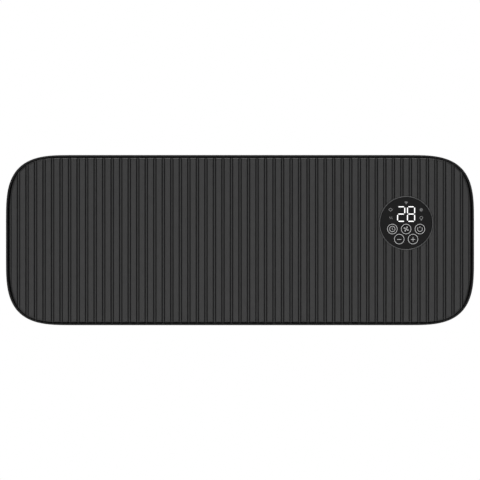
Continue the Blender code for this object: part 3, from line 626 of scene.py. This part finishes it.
class Marks:
    """Thin raised marks on the lens, drawn in millimetres from the control panel's centre."""

    def __init__(self):
        self.bm = bmesh.new()
        self.centre = control_spot()[0]
        self.front = self.centre.y - MARK_FRONT
        self.back = self.centre.y + MARK_ROOT

    def shape(self, points):
        spots = [(self.centre.x + x * MM, self.centre.z + z * MM) for x, z in points]
        prism(spots, "Y", self.front, self.back, self.bm)

    def line(self, points, width):
        self.shape(sheet_outline(points, width))

    def ring(self, spot, radius, width):
        centre = self.centre + Vector((spot[0] * MM, 0, spot[1] * MM))
        outer, inner = (radius + width / 2) * MM, (radius - width / 2) * MM
        profile = [(outer, self.back), (outer, self.front), (inner, self.front), (inner, self.back)]
        turned("Y", centre, profile, 48, ring=True, bm=self.bm)

    def done(self, name, finish):
        piece(name, self.bm, "led_white", "heater", finish=finish)


def segment(middle, upright):
    """Six-sided bar of a seven-segment digit, centred on the point middle."""
    half = (SEGMENT_ROW / 2 if upright else SEGMENT_COLUMN) - SEGMENT_WIDTH * 0.7
    wide, taper = SEGMENT_WIDTH / 2, SEGMENT_WIDTH * 0.4
    points = [(-half, 0), (taper - half, wide), (half - taper, wide), (half, 0),
              (half - taper, -wide), (taper - half, -wide)]
    if upright:
        points = [(z, x) for x, z in points]
    return [(middle[0] + x, middle[1] + z) for x, z in points]


def make_digits():
    """The temperature, 28, as two seven-segment digits. Each bar has a (column, row)."""
    bars = {"top": (0, 2), "middle": (0, 0), "bottom": (0, -2), "upper_left": (-1, 1),
            "upper_right": (1, 1), "lower_left": (-1, -1), "lower_right": (1, -1)}
    two = ["top", "upper_right", "middle", "lower_left", "bottom"]
    marks = Marks()
    for side, lit in ((-1, two), (1, list(bars))):
        for name in lit:
            column, row = bars[name]
            spot = (side * DIGIT_PITCH / 2 + column * SEGMENT_COLUMN,
                    DIGITS_HEIGHT + row * SEGMENT_ROW / 2)
            marks.shape(segment(spot, bool(column)))
    marks.done("led_digits", "led_white")


def make_buttons():
    """Five touch buttons: rings with a clock, a fan, a power mark, a minus and a plus."""
    marks = Marks()
    for spot in BUTTON_SPOTS.values():
        marks.ring(spot, BUTTON_RADIUS, STROKE)
    draw_clock(marks, *BUTTON_SPOTS["timer"])
    draw_power(marks, *BUTTON_SPOTS["power"])
    drop = 0.4
    for name in ("less", "more"):
        x, z = BUTTON_SPOTS[name]
        marks.line([(x - 2.5, z - drop), (x + 2.5, z - drop)], STROKE)
    for side in (-1, 1):        # the plus's upright, as two halves that stay clear of its bar
        start = z - drop + side * STROKE / 2
        marks.line([(x, start), (x, start + side * 2.3)], STROKE)
    draw_fan(marks, *BUTTON_SPOTS["fan"])
    marks.done("touch_marks", "mark_lit")


def draw_clock(marks, x, z):
    """Dial with its two hands."""
    marks.ring((x, z), 3.2, STROKE)
    marks.line([(x - 0.1, z + 1.7), (x - 0.1, z), (x + 1.0, z - 0.9)], STROKE * 0.8)


def draw_power(marks, x, z):
    """Ring that is open at the top, with a short upright line in the opening."""
    marks.line(arc((x, z), 2.9, 138, 402, 24), STROKE * 0.9)
    marks.line([(x, z + 1.2), (x, z + 3.3)], STROKE * 0.9)


def draw_fan(marks, x, z):
    """Four curved blades round a hub: each has a plain leading edge and a bulging trailing edge."""
    hub, root, reach, sweep, bulge = 0.65, 0.9, 2.4, 46, 30
    marks.shape(arc((x, z), hub, 0, 345, 23))
    for quarter in range(4):
        base = 20 + 90 * quarter
        blade = [(root + reach * t, base + sweep * t) for t in (0, 0.35, 0.7, 1)]
        for t in (0.3, 0.6, 0.85):
            swept = base + sweep + bulge * math.sin(math.pi * t) - sweep * t
            blade.append((root + reach - reach * t, swept))
        turns = [(radius, math.radians(angle)) for radius, angle in blade]
        marks.shape([(x + radius * math.cos(a), z + radius * math.sin(a)) for radius, a in turns])


def make_icons():
    """Small dim status icons round the digits: signal, diamond, heat, sun and lamp."""
    marks = Marks()
    draw_signal(marks, 0, 22.6)
    draw_diamond(marks, -18.2, 15.7)
    draw_heat(marks, -17.8, 4.6)
    draw_sun(marks, 17.7, 15.5)
    draw_lamp(marks, 17.8, 6.2)
    marks.done("status_icons", "mark_dim")


def draw_signal(marks, x, z):
    """Dot with two arcs over it."""
    marks.shape(arc((x, z), 0.45, 0, 330, 11))
    for radius in (1.3, 2.4):
        marks.line(arc((x, z), radius, 42, 138, 6), 0.6)


def draw_diamond(marks, x, z):
    corners = [(x + 2.3, z), (x, z + 1.9), (x - 2.3, z), (x, z - 1.9)]
    for start, end in zip(corners, corners[1:] + corners[:1]):
        marks.line([start, end], ICON_STROKE)


def draw_heat(marks, x, z):
    """Two waves that rise side by side from the height z."""
    for offset in (-1.1, 1.1):
        wave = [(offset + x + 0.3 * math.sin(t * math.pi), z + 1.4 * t) for t in (0, 0.5, 1, 1.5, 2)]
        marks.line(wave, ICON_STROKE)


def draw_sun(marks, x, z):
    """Ring with eight rays."""
    marks.ring((x, z), 1.1, 0.6)
    for ray_x, ray_z in arc((0, 0), 1, 0, 315, 7):
        marks.line([(x + radius * ray_x, z + radius * ray_z) for radius in (1.5, 2.1)], 0.35)


def draw_lamp(marks, x, z):
    """Round bulb with a tapered cap under it."""
    marks.ring((x, z), 1.7, ICON_STROKE)
    marks.shape([(x - 0.7, z - 2.1), (x + 0.7, z - 2.1), (x + 0.5, z - 3.0), (x - 0.5, z - 3.0)])


# ---- case

def make_housing():
    """Rim, side walls and seat flange, with the filter tray above and the air outlet below.

    The flange steps back behind the gap round the panel, as a deep channel that keeps the gap dark.
    """
    low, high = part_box("front_housing")
    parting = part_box("rear_cover")[0].y - GAP
    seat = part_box("front_panel")[0].y + (PANEL_SHEET + GAP)
    sheet = 2 * MM
    seat_back, channel = seat + sheet, seat + 6 * MM
    step = WALL + 4 * MM
    corners = [(0, low.y, WALL / 2), (0, parting, 0.3 * MM), (WALL / 2, parting, 0),
               (WALL / 2, parting + LAP, 0.2 * MM), (WALL, parting + LAP, 0.2 * MM),
               (WALL, channel + sheet, 0.6 * MM), (step + sheet, channel + sheet, 0.6 * MM),
               (step + sheet, seat_back, 0.3 * MM), (PANEL_SEAT, seat_back, 0.3 * MM),
               (PANEL_SEAT, seat, 0.3 * MM), (step, seat, 0.3 * MM), (step, channel, 0.3 * MM),
               (WALL, channel, 0.3 * MM), (WALL, low.y, WALL / 2)]
    housing = new_object("housing", loft(bmesh.new(), case_loops(fillet(corners, 5)), ring=True))
    open_tray(housing)
    open_outlet(housing)
    pillar, bore, bore_depth = 4.5 * MM, 1.6 * MM, 12 * MM
    for x, z in SCREW_SPOTS:
        fuse(housing, rod("Y", (x, 0, z), pillar, seat_back - 1 * MM, high.y, 0.3 * MM, 32))
        cut(housing, rod("Y", (x, 0, z), bore, parting - bore_depth, 0, steps=24))
    piece("front_shell", housing, "case_plastic", "heater", "front_housing")


def open_tray(housing):
    """Tray in the top wall that the filter cassette drops into, with a ledge all round."""
    low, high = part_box("intake_grille")
    middle, (half_x, half_y) = plan(low, high)
    half = (half_x + GAP, half_y + GAP)
    ledge, side, lip = low.z - GAP, 2 * MM, 3 * MM
    outer = (half[0] + side, half[1] + side)
    inner = (half[0] - lip, half[1] - lip)
    fuse(housing, block("Z", middle, outer, 2.5 * MM, [(ledge - side, 0), (high.z - 1.4 * MM, 0)]))
    cut(housing, block("Z", middle, half, 1.5 * MM, mouth(ledge, high.z, 0.4 * MM)))
    cut(housing, block("Z", middle, inner, 2 * MM, mouth(0, ledge, 0.4 * MM)))


def open_outlet(housing):
    """Air outlet in the floor, between the ribs that hold the ends of the duct walls."""
    front, rear, half, floor = -98 * MM, -58 * MM, 150 * MM, cad_low.z
    opening = mouth(floor + 10 * MM, floor, 0.8 * MM)
    cut(housing, block("Z", (0, (front + rear) / 2), (half, (rear - front) / 2), 2 * MM, opening))
    duct_wall, rib = 2 * MM, 1.6 * MM
    stations = ends(floor + WALL / 2, floor + 12 * MM, 0, 0.4 * MM)
    for y in (front - duct_wall - GAP - rib, rear + duct_wall + GAP):
        fuse(housing, block("Z", (0, y + rib / 2), (half, rib / 2), 0.5 * MM, stations))


def make_back():
    """Rear cover: soft rear edge, screw wells, hook slots, vents and the recesses in its sides."""
    low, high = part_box("rear_cover")
    back = high.y
    cover = new_object("cover", loft(bmesh.new(), cover_loops(low.y, back)))
    pillar, pillar_front = 5.2 * MM, -29.7 * MM
    well, well_floor = 4 * MM, -24 * MM
    clearance = 2.1 * MM
    for x, z in SCREW_SPOTS:
        fuse(cover, rod("Y", (x, 0, z), pillar, pillar_front, back - WALL / 2, steps=32))
        stations = [(well + grow, along) for along, grow in mouth(well_floor, back, 0.5 * MM)]
        cut(cover, turned("Y", (x, 0, z), stations, 40))
        cut(cover, rod("Y", (x, 0, z), clearance, -60 * MM, 0, steps=32))
    open_hook_slots(cover, back)
    open_switch_recess(cover)
    open_cord_recess(cover)
    cut(cover, vent_cutters(back))
    piece("back_shell", cover, "case_plastic", "heater", "rear_cover")


def cover_loops(front, back):
    """Loops of the cover, from the outside of its back, over the front edge, to the inside of its back.

    The two corners near the middle only close the section for fillet, so no loop is made of them.
    """
    draft, soft = 1.5 * MM, 8 * MM
    middle = cad_high.z - 20 * MM
    corners = [(0.3 * MM, front, 0.25 * MM), (draft, back, soft), (middle, back, 0),
               (middle, back - WALL, 0), (draft + WALL, back - WALL, soft - WALL),
               (WALL + GAP, front + LAP, 0), (WALL / 2 - GAP, front + LAP, 0.15 * MM),
               (WALL / 2 - GAP, front, 0.15 * MM)]
    section = fillet(corners, 8)
    turn = next(i for i, corner in enumerate(section) if corner[0] > middle - 10 * MM)
    outside, inside = section[:turn], section[turn + 2:]
    return case_loops(outside[::-1] + inside[::-1])


def open_hook_slots(cover, back):
    """Two blind slots in the back wall for the bracket's hooks."""
    top, half = 21.8 * MM, (11 * MM, 7 * MM)
    stations = mouth(back - 6 * MM, back, 0.6 * MM)
    for x in HOOK_SPOTS:
        cut(cover, block("Y", (x, top - half[1]), half, 1.5 * MM, stations))


def open_switch_recess(cover):
    """Flat recess in the right side wall, with the opening that the switch snaps into."""
    low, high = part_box("power_switch")
    middle = ((low.y + high.y) / 2, (low.z + high.z) / 2)
    floor, edge = 269 * MM, cad_high.x - 1.2 * MM
    pad, recess, opening = (12 * MM, 19 * MM), (10.5 * MM, 17.5 * MM), (7.3 * MM, 14.3 * MM)
    fuse(cover, block("X", middle, pad, 2 * MM, [(floor - 5 * MM, 0), (floor + 3 * MM, 0)]))
    cut(cover, block("X", middle, recess, 2.5 * MM, mouth(floor, edge, 0.6 * MM)))
    cut(cover, block("X", middle, opening, 0.8 * MM, [(floor - 10 * MM, 0), (cad_high.x + WALL, 0)]))


def open_cord_recess(cover):
    """Pocket in the bottom wall that keeps the cord gland inside the case's outline."""
    low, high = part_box("cord_gland")
    middle = ((low.x + high.x) / 2, (low.y + high.y) / 2)
    shelf, edge = -92 * MM, cad_low.z + 0.9 * MM
    pad, pocket, bore = (14 * MM, 14 * MM), (12 * MM, 12 * MM), 6 * MM
    fuse(cover, block("Z", middle, pad, 3 * MM, [(shelf - 4 * MM, 0), (shelf + 2 * MM, 0)]))
    cut(cover, block("Z", middle, pocket, 3 * MM, mouth(shelf, edge, 0.6 * MM)))
    cut(cover, rod("Z", (*middle, 0), bore, cad_low.z, 0))


def vent_cutters(back):
    """Round-ended cooling slots behind the motor and the electronics."""
    slots = bmesh.new()
    first, pitch, level, half = 186 * MM, 7 * MM, -34 * MM, (1.5 * MM, 14 * MM)
    stations = mouth(back - 7 * MM, back, 0.4 * MM)
    for side in (-1, 1):
        for i in range(8):
            spot = (side * (first + pitch * i), level)
            block("Y", spot, half, 1.45 * MM, stations, slots)
    return slots


def make_screws():
    """Four case screws with a domed head and a cross recess."""
    shank, head = 1.3 * MM, 3.6 * MM
    long, thin = 2.1 * MM, 0.4 * MM
    for i in range(1, 5):
        low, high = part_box(f"case_screw_{i}")
        centre = (low + high) / 2
        seat = high.y - 2.7 * MM
        corners = [(shank, low.y, 0.4 * MM), (shank, seat, 0), (head, seat, 0.2 * MM),
                   (head, high.y - 0.9 * MM, 0.4 * MM), (2.2 * MM, high.y, 0.9 * MM)]
        profile = fillet([(0, low.y, 0)] + corners + [(0, high.y, 0)])[1:-1]
        screw = new_object("screw", turned("Y", centre, profile, 40))
        recess = [(high.y - 1.5 * MM, -0.1 * MM), (0, 0)]
        for half in ((long, thin), (thin, long)):
            cut(screw, block("Y", (centre.x, centre.z), half, 0.1 * MM, recess))
        piece(f"screw_{i}", screw, "steel", "heater", f"case_screw_{i}")


# ---- filter cassette

def make_cassette():
    """Intake grille: a shallow tray with slots across its top, a lip below and a finger hole."""
    low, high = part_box("intake_grille")
    middle, half = plan(low, high)
    wall, lip = 2 * MM, 4 * MM
    stations = ends(low.z, high.z, 0.3 * MM, 0.8 * MM)
    grille = new_object("grille", block("Z", middle, half, 1.2 * MM, stations))
    inside, hole = [(half[0] - inset, half[1] - inset) for inset in (wall, lip)]
    cut(grille, block("Z", middle, inside, 1 * MM, [(low.z + 1.7 * MM, 0), (high.z - WALL, 0)]))
    cut(grille, block("Z", middle, hole, 1 * MM, [(0, 0), (low.z + 3 * MM, 0)]))
    slots = bmesh.new()
    stations = mouth(high.z - 5 * MM, high.z, 0.5 * MM)
    first, pitch = 24 * MM, 7.5 * MM
    for side in (-1, 1):
        for i in range(19):
            spot = (side * (first + pitch * i), middle[1])
            block("Z", spot, (2 * MM, half[1] - 5 * MM), 1.9 * MM, stations, slots)
    block("Z", middle, (14 * MM, half[1] - 9 * MM), 4 * MM, stations, slots)
    cut(grille, slots)
    piece("cassette_grille", grille, "case_plastic", "cassette", "intake_grille")


def make_filter():
    """Dust filter: a thin frame, and a net of crossed threads with bars across it."""
    low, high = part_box("dust_filter")
    middle, half = plan(low, high)
    border = 3 * MM
    net = new_object("net", block("Z", middle, half, 1 * MM, ends(low.z, high.z, 0.2 * MM, 0.2 * MM)))
    inside = (half[0] - border, half[1] - border)
    cut(net, block("Z", middle, inside, 1 * MM, [(low.z - PAST, 0), (high.z + PAST, 0)]))
    piece("filter_frame", net, "filter_mesh", "cassette", "dust_filter")
    piece("filter_net", filter_threads(low, high, middle[1], inside), "filter_mesh", "cassette")


def filter_threads(low, high, middle, inside):
    """Threads and bars over the frame's opening, whose ends go a little way into the frame."""
    threads = bmesh.new()
    thread, pitch, bar, bar_pitch = 0.35 * MM, 1.6 * MM, 0.8 * MM, 42 * MM
    level = (low.z + high.z) / 2
    end_x = inside[0] + 1 * MM
    near, far = middle - inside[1] - 1 * MM, middle + inside[1] + 1 * MM
    for i in range(int(2 * inside[0] / pitch)):
        x = -inside[0] + (i + 0.5) * pitch
        box((x - thread / 2, near, level - thread), (x + thread / 2, far, level), threads)
    for i in range(int(2 * inside[1] / pitch)):
        y = middle - inside[1] + (i + 0.5) * pitch
        box((-end_x, y - thread / 2, level), (end_x, y + thread / 2, level + thread), threads)
    for i in range(-3, 4):
        x = i * bar_pitch
        box((x - bar, near, low.z + 0.1 * MM), (x + bar, far, high.z - 0.1 * MM), threads)
    return threads


# ---- outlet

def make_vane():
    """Louvre blade: a slim oval section, with round bosses and a pivot pin at its ends."""
    low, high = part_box("louvre_blade")
    axis = Vector((0, (low.y + high.y) / 2, (low.z + high.z) / 2))
    half, chord, thick, boss_length = -low.x, (high.y - low.y) / 2, 1.7 * MM, 14 * MM
    boss, pin, socket = 4.5 * MM, 2.5 * MM, 2.8 * MM
    loops = []
    for along, grow in ends(-half, half, 0.6 * MM, 0.6 * MM):
        wide, deep = thick + grow, chord + grow
        points = arc((0, 0), 1, 0, 360, 56)[:-1]
        loops.append([(along, axis.y + y * deep, axis.z + z * wide) for y, z in points])
    vane = new_object("vane", loft(bmesh.new(), loops))
    for start, end in ((-half, boss_length - half), (half - boss_length, half)):
        fuse(vane, rod("X", axis, boss, start, end, 0.6 * MM))
    fuse(vane, rod("X", axis, pin, half - 5 * MM, high.x, 0.5 * MM, 32))
    cut(vane, rod("X", axis, socket, -2 * half, 10 * MM - half, steps=32))
    piece("louvre_vane", vane, "black_plastic", "louvre", "louvre_blade")


def make_guard():
    """Finger guard across the duct, above the louvre: two rows of slots."""
    low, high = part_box("guard_grille")
    middle, half = plan(low, high)
    guard = new_object("guard", block("Z", middle, half, 1 * MM, ends(low.z, high.z, 0.4 * MM, 0.4 * MM)))
    slots = bmesh.new()
    count, pitch, half_width, half_depth = 20, 15 * MM, 6.3 * MM, 7.85 * MM
    stations = mouth(high.z + PAST, low.z, 0.5 * MM)
    for i in range(count):
        x = (i - (count - 1) / 2) * pitch
        for y in (low.y + 3 * MM + half_depth, middle[1] + 1 * MM + half_depth):
            block("Z", (x, y), (half_width, half_depth), 2 * MM, stations, slots)
    cut(guard, slots)
    piece("guard_grid", guard, "black_plastic", "heater", "guard_grille")


# ---- switch, gland and wall fixing

def make_switch():
    """Switch body: a snap-in box with a flange, open at the front for the rocker."""
    low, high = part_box("power_switch")
    middle = ((low.y + high.y) / 2, (low.z + high.z) / 2)
    flange = high.x - 1.5 * MM
    box_half, flange_half, inside = (7 * MM, 14 * MM), (9.5 * MM, 16.5 * MM), (6 * MM, 12.4 * MM)
    body = new_object("body", block("X", middle, box_half, 1 * MM, [(low.x, 0), (flange + 0.3 * MM, 0)]))
    fuse(body, block("X", middle, flange_half, 1.8 * MM, ends(flange, high.x, 0, 0.6 * MM)))
    cut(body, block("X", middle, inside, 0.5 * MM, mouth(low.x + 10 * MM, high.x, 0.35 * MM)))
    piece("switch_frame", body, "black_plastic", "heater", "power_switch")


def make_rocker():
    """Rocker with a hollow in its face, and the usual line and ring marks for on and off."""
    low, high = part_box("rocker_paddle")
    tip_x, tip_z = ROCKER_TIP
    lower = [(-3.5, -3, 0.6), (1.2, 0.1 - tip_z, 0.5), (tip_x, -tip_z, 0.7)]
    upper = [(x, -z, radius) for x, z, radius in reversed(lower)]
    corners = []
    for x, z, radius in [(-5, 0, 1)] + lower + [(ROCKER_DIP, 0, 9)] + upper:
        spot = Vector((ROCKER_AXIS, 0)) + tilted((x * MM, z * MM))
        corners.append((spot.x, spot.y, radius * MM))
    paddle = new_object("paddle", prism(fillet(corners, 5), "Y", low.y, high.y))
    bevel = paddle.modifiers.new("Edges", "BEVEL")
    bevel.width = 0.3 * MM
    bevel.segments = 3
    bevel.limit_method = "ANGLE"
    bevel.angle_limit = math.radians(50)
    piece("rocker_cap", paddle, "black_plastic", "rocker", "rocker_paddle")
    marks = bmesh.new()
    middle, sunk, proud = (low.y + high.y) / 2, -0.1, 0.05
    rows = [(arc((0, 0), radius, 0, 360, 32)[:-1], lift)
            for radius, lift in ((1.7, sunk), (1.7, proud), (1.05, proud), (1.05, sunk))]
    loft(marks, rocker_mark(-1, middle, rows), ring=True)
    line = [(-0.4, -1.7), (0.4, -1.7), (0.4, 1.7), (-0.4, 1.7)]
    loft(marks, rocker_mark(1, middle, [(line, sunk), (line, proud)]))
    piece("rocker_marks", marks, "white_plastic", "rocker")


def tilted(point):
    """An (x, z) point or direction on the level rocker, turned to its place at rest."""
    return Matrix.Rotation(ROCKER_TILT, 2) @ Vector(point)


def rocker_mark(half, middle, rows):
    """Loops of a mark on the upper (1) or lower (-1) half of the face, from (points, lift) rows."""
    dip, tip = Vector((ROCKER_DIP, 0)), Vector((ROCKER_TIP[0], half * ROCKER_TIP[1]))
    slope = (tip - dip).normalized()
    out = tilted(Vector((slope.y, -slope.x)) * half)
    spot = Vector((ROCKER_AXIS, 0)) + tilted(dip + (tip - dip) * 0.6) * MM
    slope = tilted(slope)
    loops = []
    for points, lift in rows:
        flat = [(u, spot + (slope * v + out * lift) * MM) for u, v in points]
        loops.append([(place.x, middle + u * MM, place.y) for u, place in flat])
    return loops


def make_gland():
    """Rubber cord gland with two grips round its sleeve and a rounded mouth."""
    low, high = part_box("cord_gland")
    shelf, grip = low.z + 3 * MM, low.z + 5.3 * MM
    rim, sleeve, barb, bore = 9, 5.7, 8.5, 3.6
    corners = [(rim, low.z, 0.9), (rim, shelf - GAP, 0.4), (sleeve, shelf - GAP, 0), (sleeve, grip, 0),
               (barb, grip, 0.4), (barb, high.z, 1.2), (bore, high.z, 0.5), (bore, low.z, 0.8)]
    profile = fillet([(radius * MM, z, soft * MM) for radius, z, soft in corners])
    gland = new_object("gland", turned("Z", (low + high) / 2, profile, 48, ring=True))
    piece("gland_sleeve", gland, "rubber", "heater", "cord_gland")


def make_bracket():
    """Pressed steel wall plate with two bent hooks and four screw holes."""
    low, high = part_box("wall_bracket")
    half, sheet = (high.x, high.z), 1.5 * MM
    plate = new_object("plate", block("Y", (0, 0), half, 7 * MM, ends(-sheet, 0, 0.25 * MM, 0.25 * MM)))
    root, arm, tip, half_width = -0.5 * MM, 20 * MM, 31.5 * MM, 9 * MM
    corners = [(root, arm, 0), (low.y, arm, 2.4 * MM), (low.y, tip, 0.6 * MM),
               (low.y + sheet, tip, 0.6 * MM), (low.y + sheet, arm + sheet, 1 * MM),
               (root, arm + sheet, 0)]
    for x in HOOK_SPOTS:
        fuse(plate, prism(fillet(corners, 5), "X", x - half_width, x + half_width))
    hole = [(2.6 * MM + grow, along) for along, grow in mouth(PAST, -sheet, 0.5 * MM)]
    for x in (-95 * MM, 95 * MM):
        for z in (-25 * MM, 25 * MM):
            cut(plate, turned("Y", (x, 0, z), hole, 40))
    piece("bracket_plate", plate, "steel", "bracket", "wall_bracket", finish="zinc_sheet")


def make_pads():
    """Two round wall pads with a shallow dish in the face that rests on the wall."""
    for side in ("left", "right"):
        low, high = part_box(f"wall_pad_{side}")
        centre, radius, dish = (low + high) / 2, (high.x - low.x) / 2, high.y - 0.4 * MM
        corners = [(radius, low.y, 0.2 * MM), (radius, high.y, 0.6 * MM),
                   (radius - 2 * MM, high.y, 0.2 * MM), (radius - 2.4 * MM, dish, 0.1 * MM)]
        profile = fillet([(0, low.y, 0)] + corners + [(0, dish, 0)])[1:-1]
        pad = new_object("pad", turned("Y", centre, profile, 48))
        piece(f"foam_pad_{side}", pad, "rubber", "heater", f"wall_pad_{side}")


# ---- light, floor and camera

def sun(name, towards, strength, spread):
    """Broad soft light that comes from one direction; spread is its width in degrees."""
    light = bpy.data.lights.new(name, "SUN")
    light.energy = strength
    light.angle = math.radians(spread)
    lamp = add_object(name, light)
    lamp.rotation_mode = "QUATERNION"
    lamp.rotation_quaternion = Vector(towards).to_track_quat("Z", "Y")


def make_lights():
    """Broad front light, stronger light from above, below and behind, and weak side light."""
    sun("front", (0, -1, 0.02), 0.93, 50)
    sun("overhead", (0, -0.1, 1), 1.7, 40)
    sun("underneath", (0, -0.3, -1), 2.0, 40)
    sun("left_side", (-1, 0.3, 0.15), 0.42, 24)
    sun("right_side", (1, 0.3, 0.15), 0.42, 24)
    sun("left_front", (-0.85, -0.5, 0.3), 0.14, 36)
    sun("right_front", (0.85, -0.5, 0.3), 0.14, 36)
    sun("behind", (0.25, 1, 0.5), 1.6, 40)


def make_world():
    """White backdrop for the camera, with a dim even light from all round for everything else."""
    world = bpy.data.worlds.new("studio")
    world.use_nodes = True
    tree = world.node_tree
    backdrop = tree.nodes["Background"]
    backdrop.inputs["Color"].default_value = (1, 1, 1, 1)
    room = tree.nodes.new("ShaderNodeBackground")
    room.inputs["Color"].default_value = (1, 1, 1, 1)
    room.inputs["Strength"].default_value = ROOM_LIGHT
    mix = tree.nodes.new("ShaderNodeMixShader")
    path = tree.nodes.new("ShaderNodeLightPath")
    tree.links.new(path.outputs["Is Camera Ray"], mix.inputs["Fac"])
    tree.links.new(room.outputs["Background"], mix.inputs[1])
    tree.links.new(backdrop.outputs["Background"], mix.inputs[2])
    tree.links.new(mix.outputs["Shader"], tree.nodes["World Output"].inputs["Surface"])
    bpy.context.scene.world = world
    bpy.context.scene.view_settings.view_transform = "Standard"


def make_floor():
    """Round pale floor, well below a heater that hangs on a wall."""
    bm = bmesh.new()
    rim = arc((0, 0), FLOOR_RADIUS, 0, 360, 96)[:-1]
    bm.faces.new([bm.verts.new((x, y, FLOOR_LEVEL)) for x, y in rim])
    floor = add_object("floor", bpy.data.meshes.new("floor"))
    bm.to_mesh(floor.data)
    bm.free()
    floor.data.materials.append(MATERIALS["pale_floor"])


def make_camera():
    """Long lens, square on to the front."""
    data = bpy.data.cameras.new("camera")
    data.lens = FOCAL_LENGTH
    data.sensor_width = SENSOR_WIDTH
    camera = add_object("camera", data)
    camera.location = (0, cad_low.y - VIEW_WIDTH * FOCAL_LENGTH / SENSOR_WIDTH, VIEW_RISE)
    camera.rotation_euler = (math.pi / 2, 0, 0)
    bpy.context.scene.camera = camera


def build():
    finish_model_nodes()
    make_panel()
    make_lens()
    make_bezel()
    make_digits()
    make_buttons()
    make_icons()
    make_housing()
    make_back()
    make_screws()
    make_cassette()
    make_filter()
    make_vane()
    make_guard()
    make_switch()
    make_rocker()
    make_gland()
    make_bracket()
    make_pads()
    make_lights()
    make_world()
    make_floor()
    make_camera()


build()
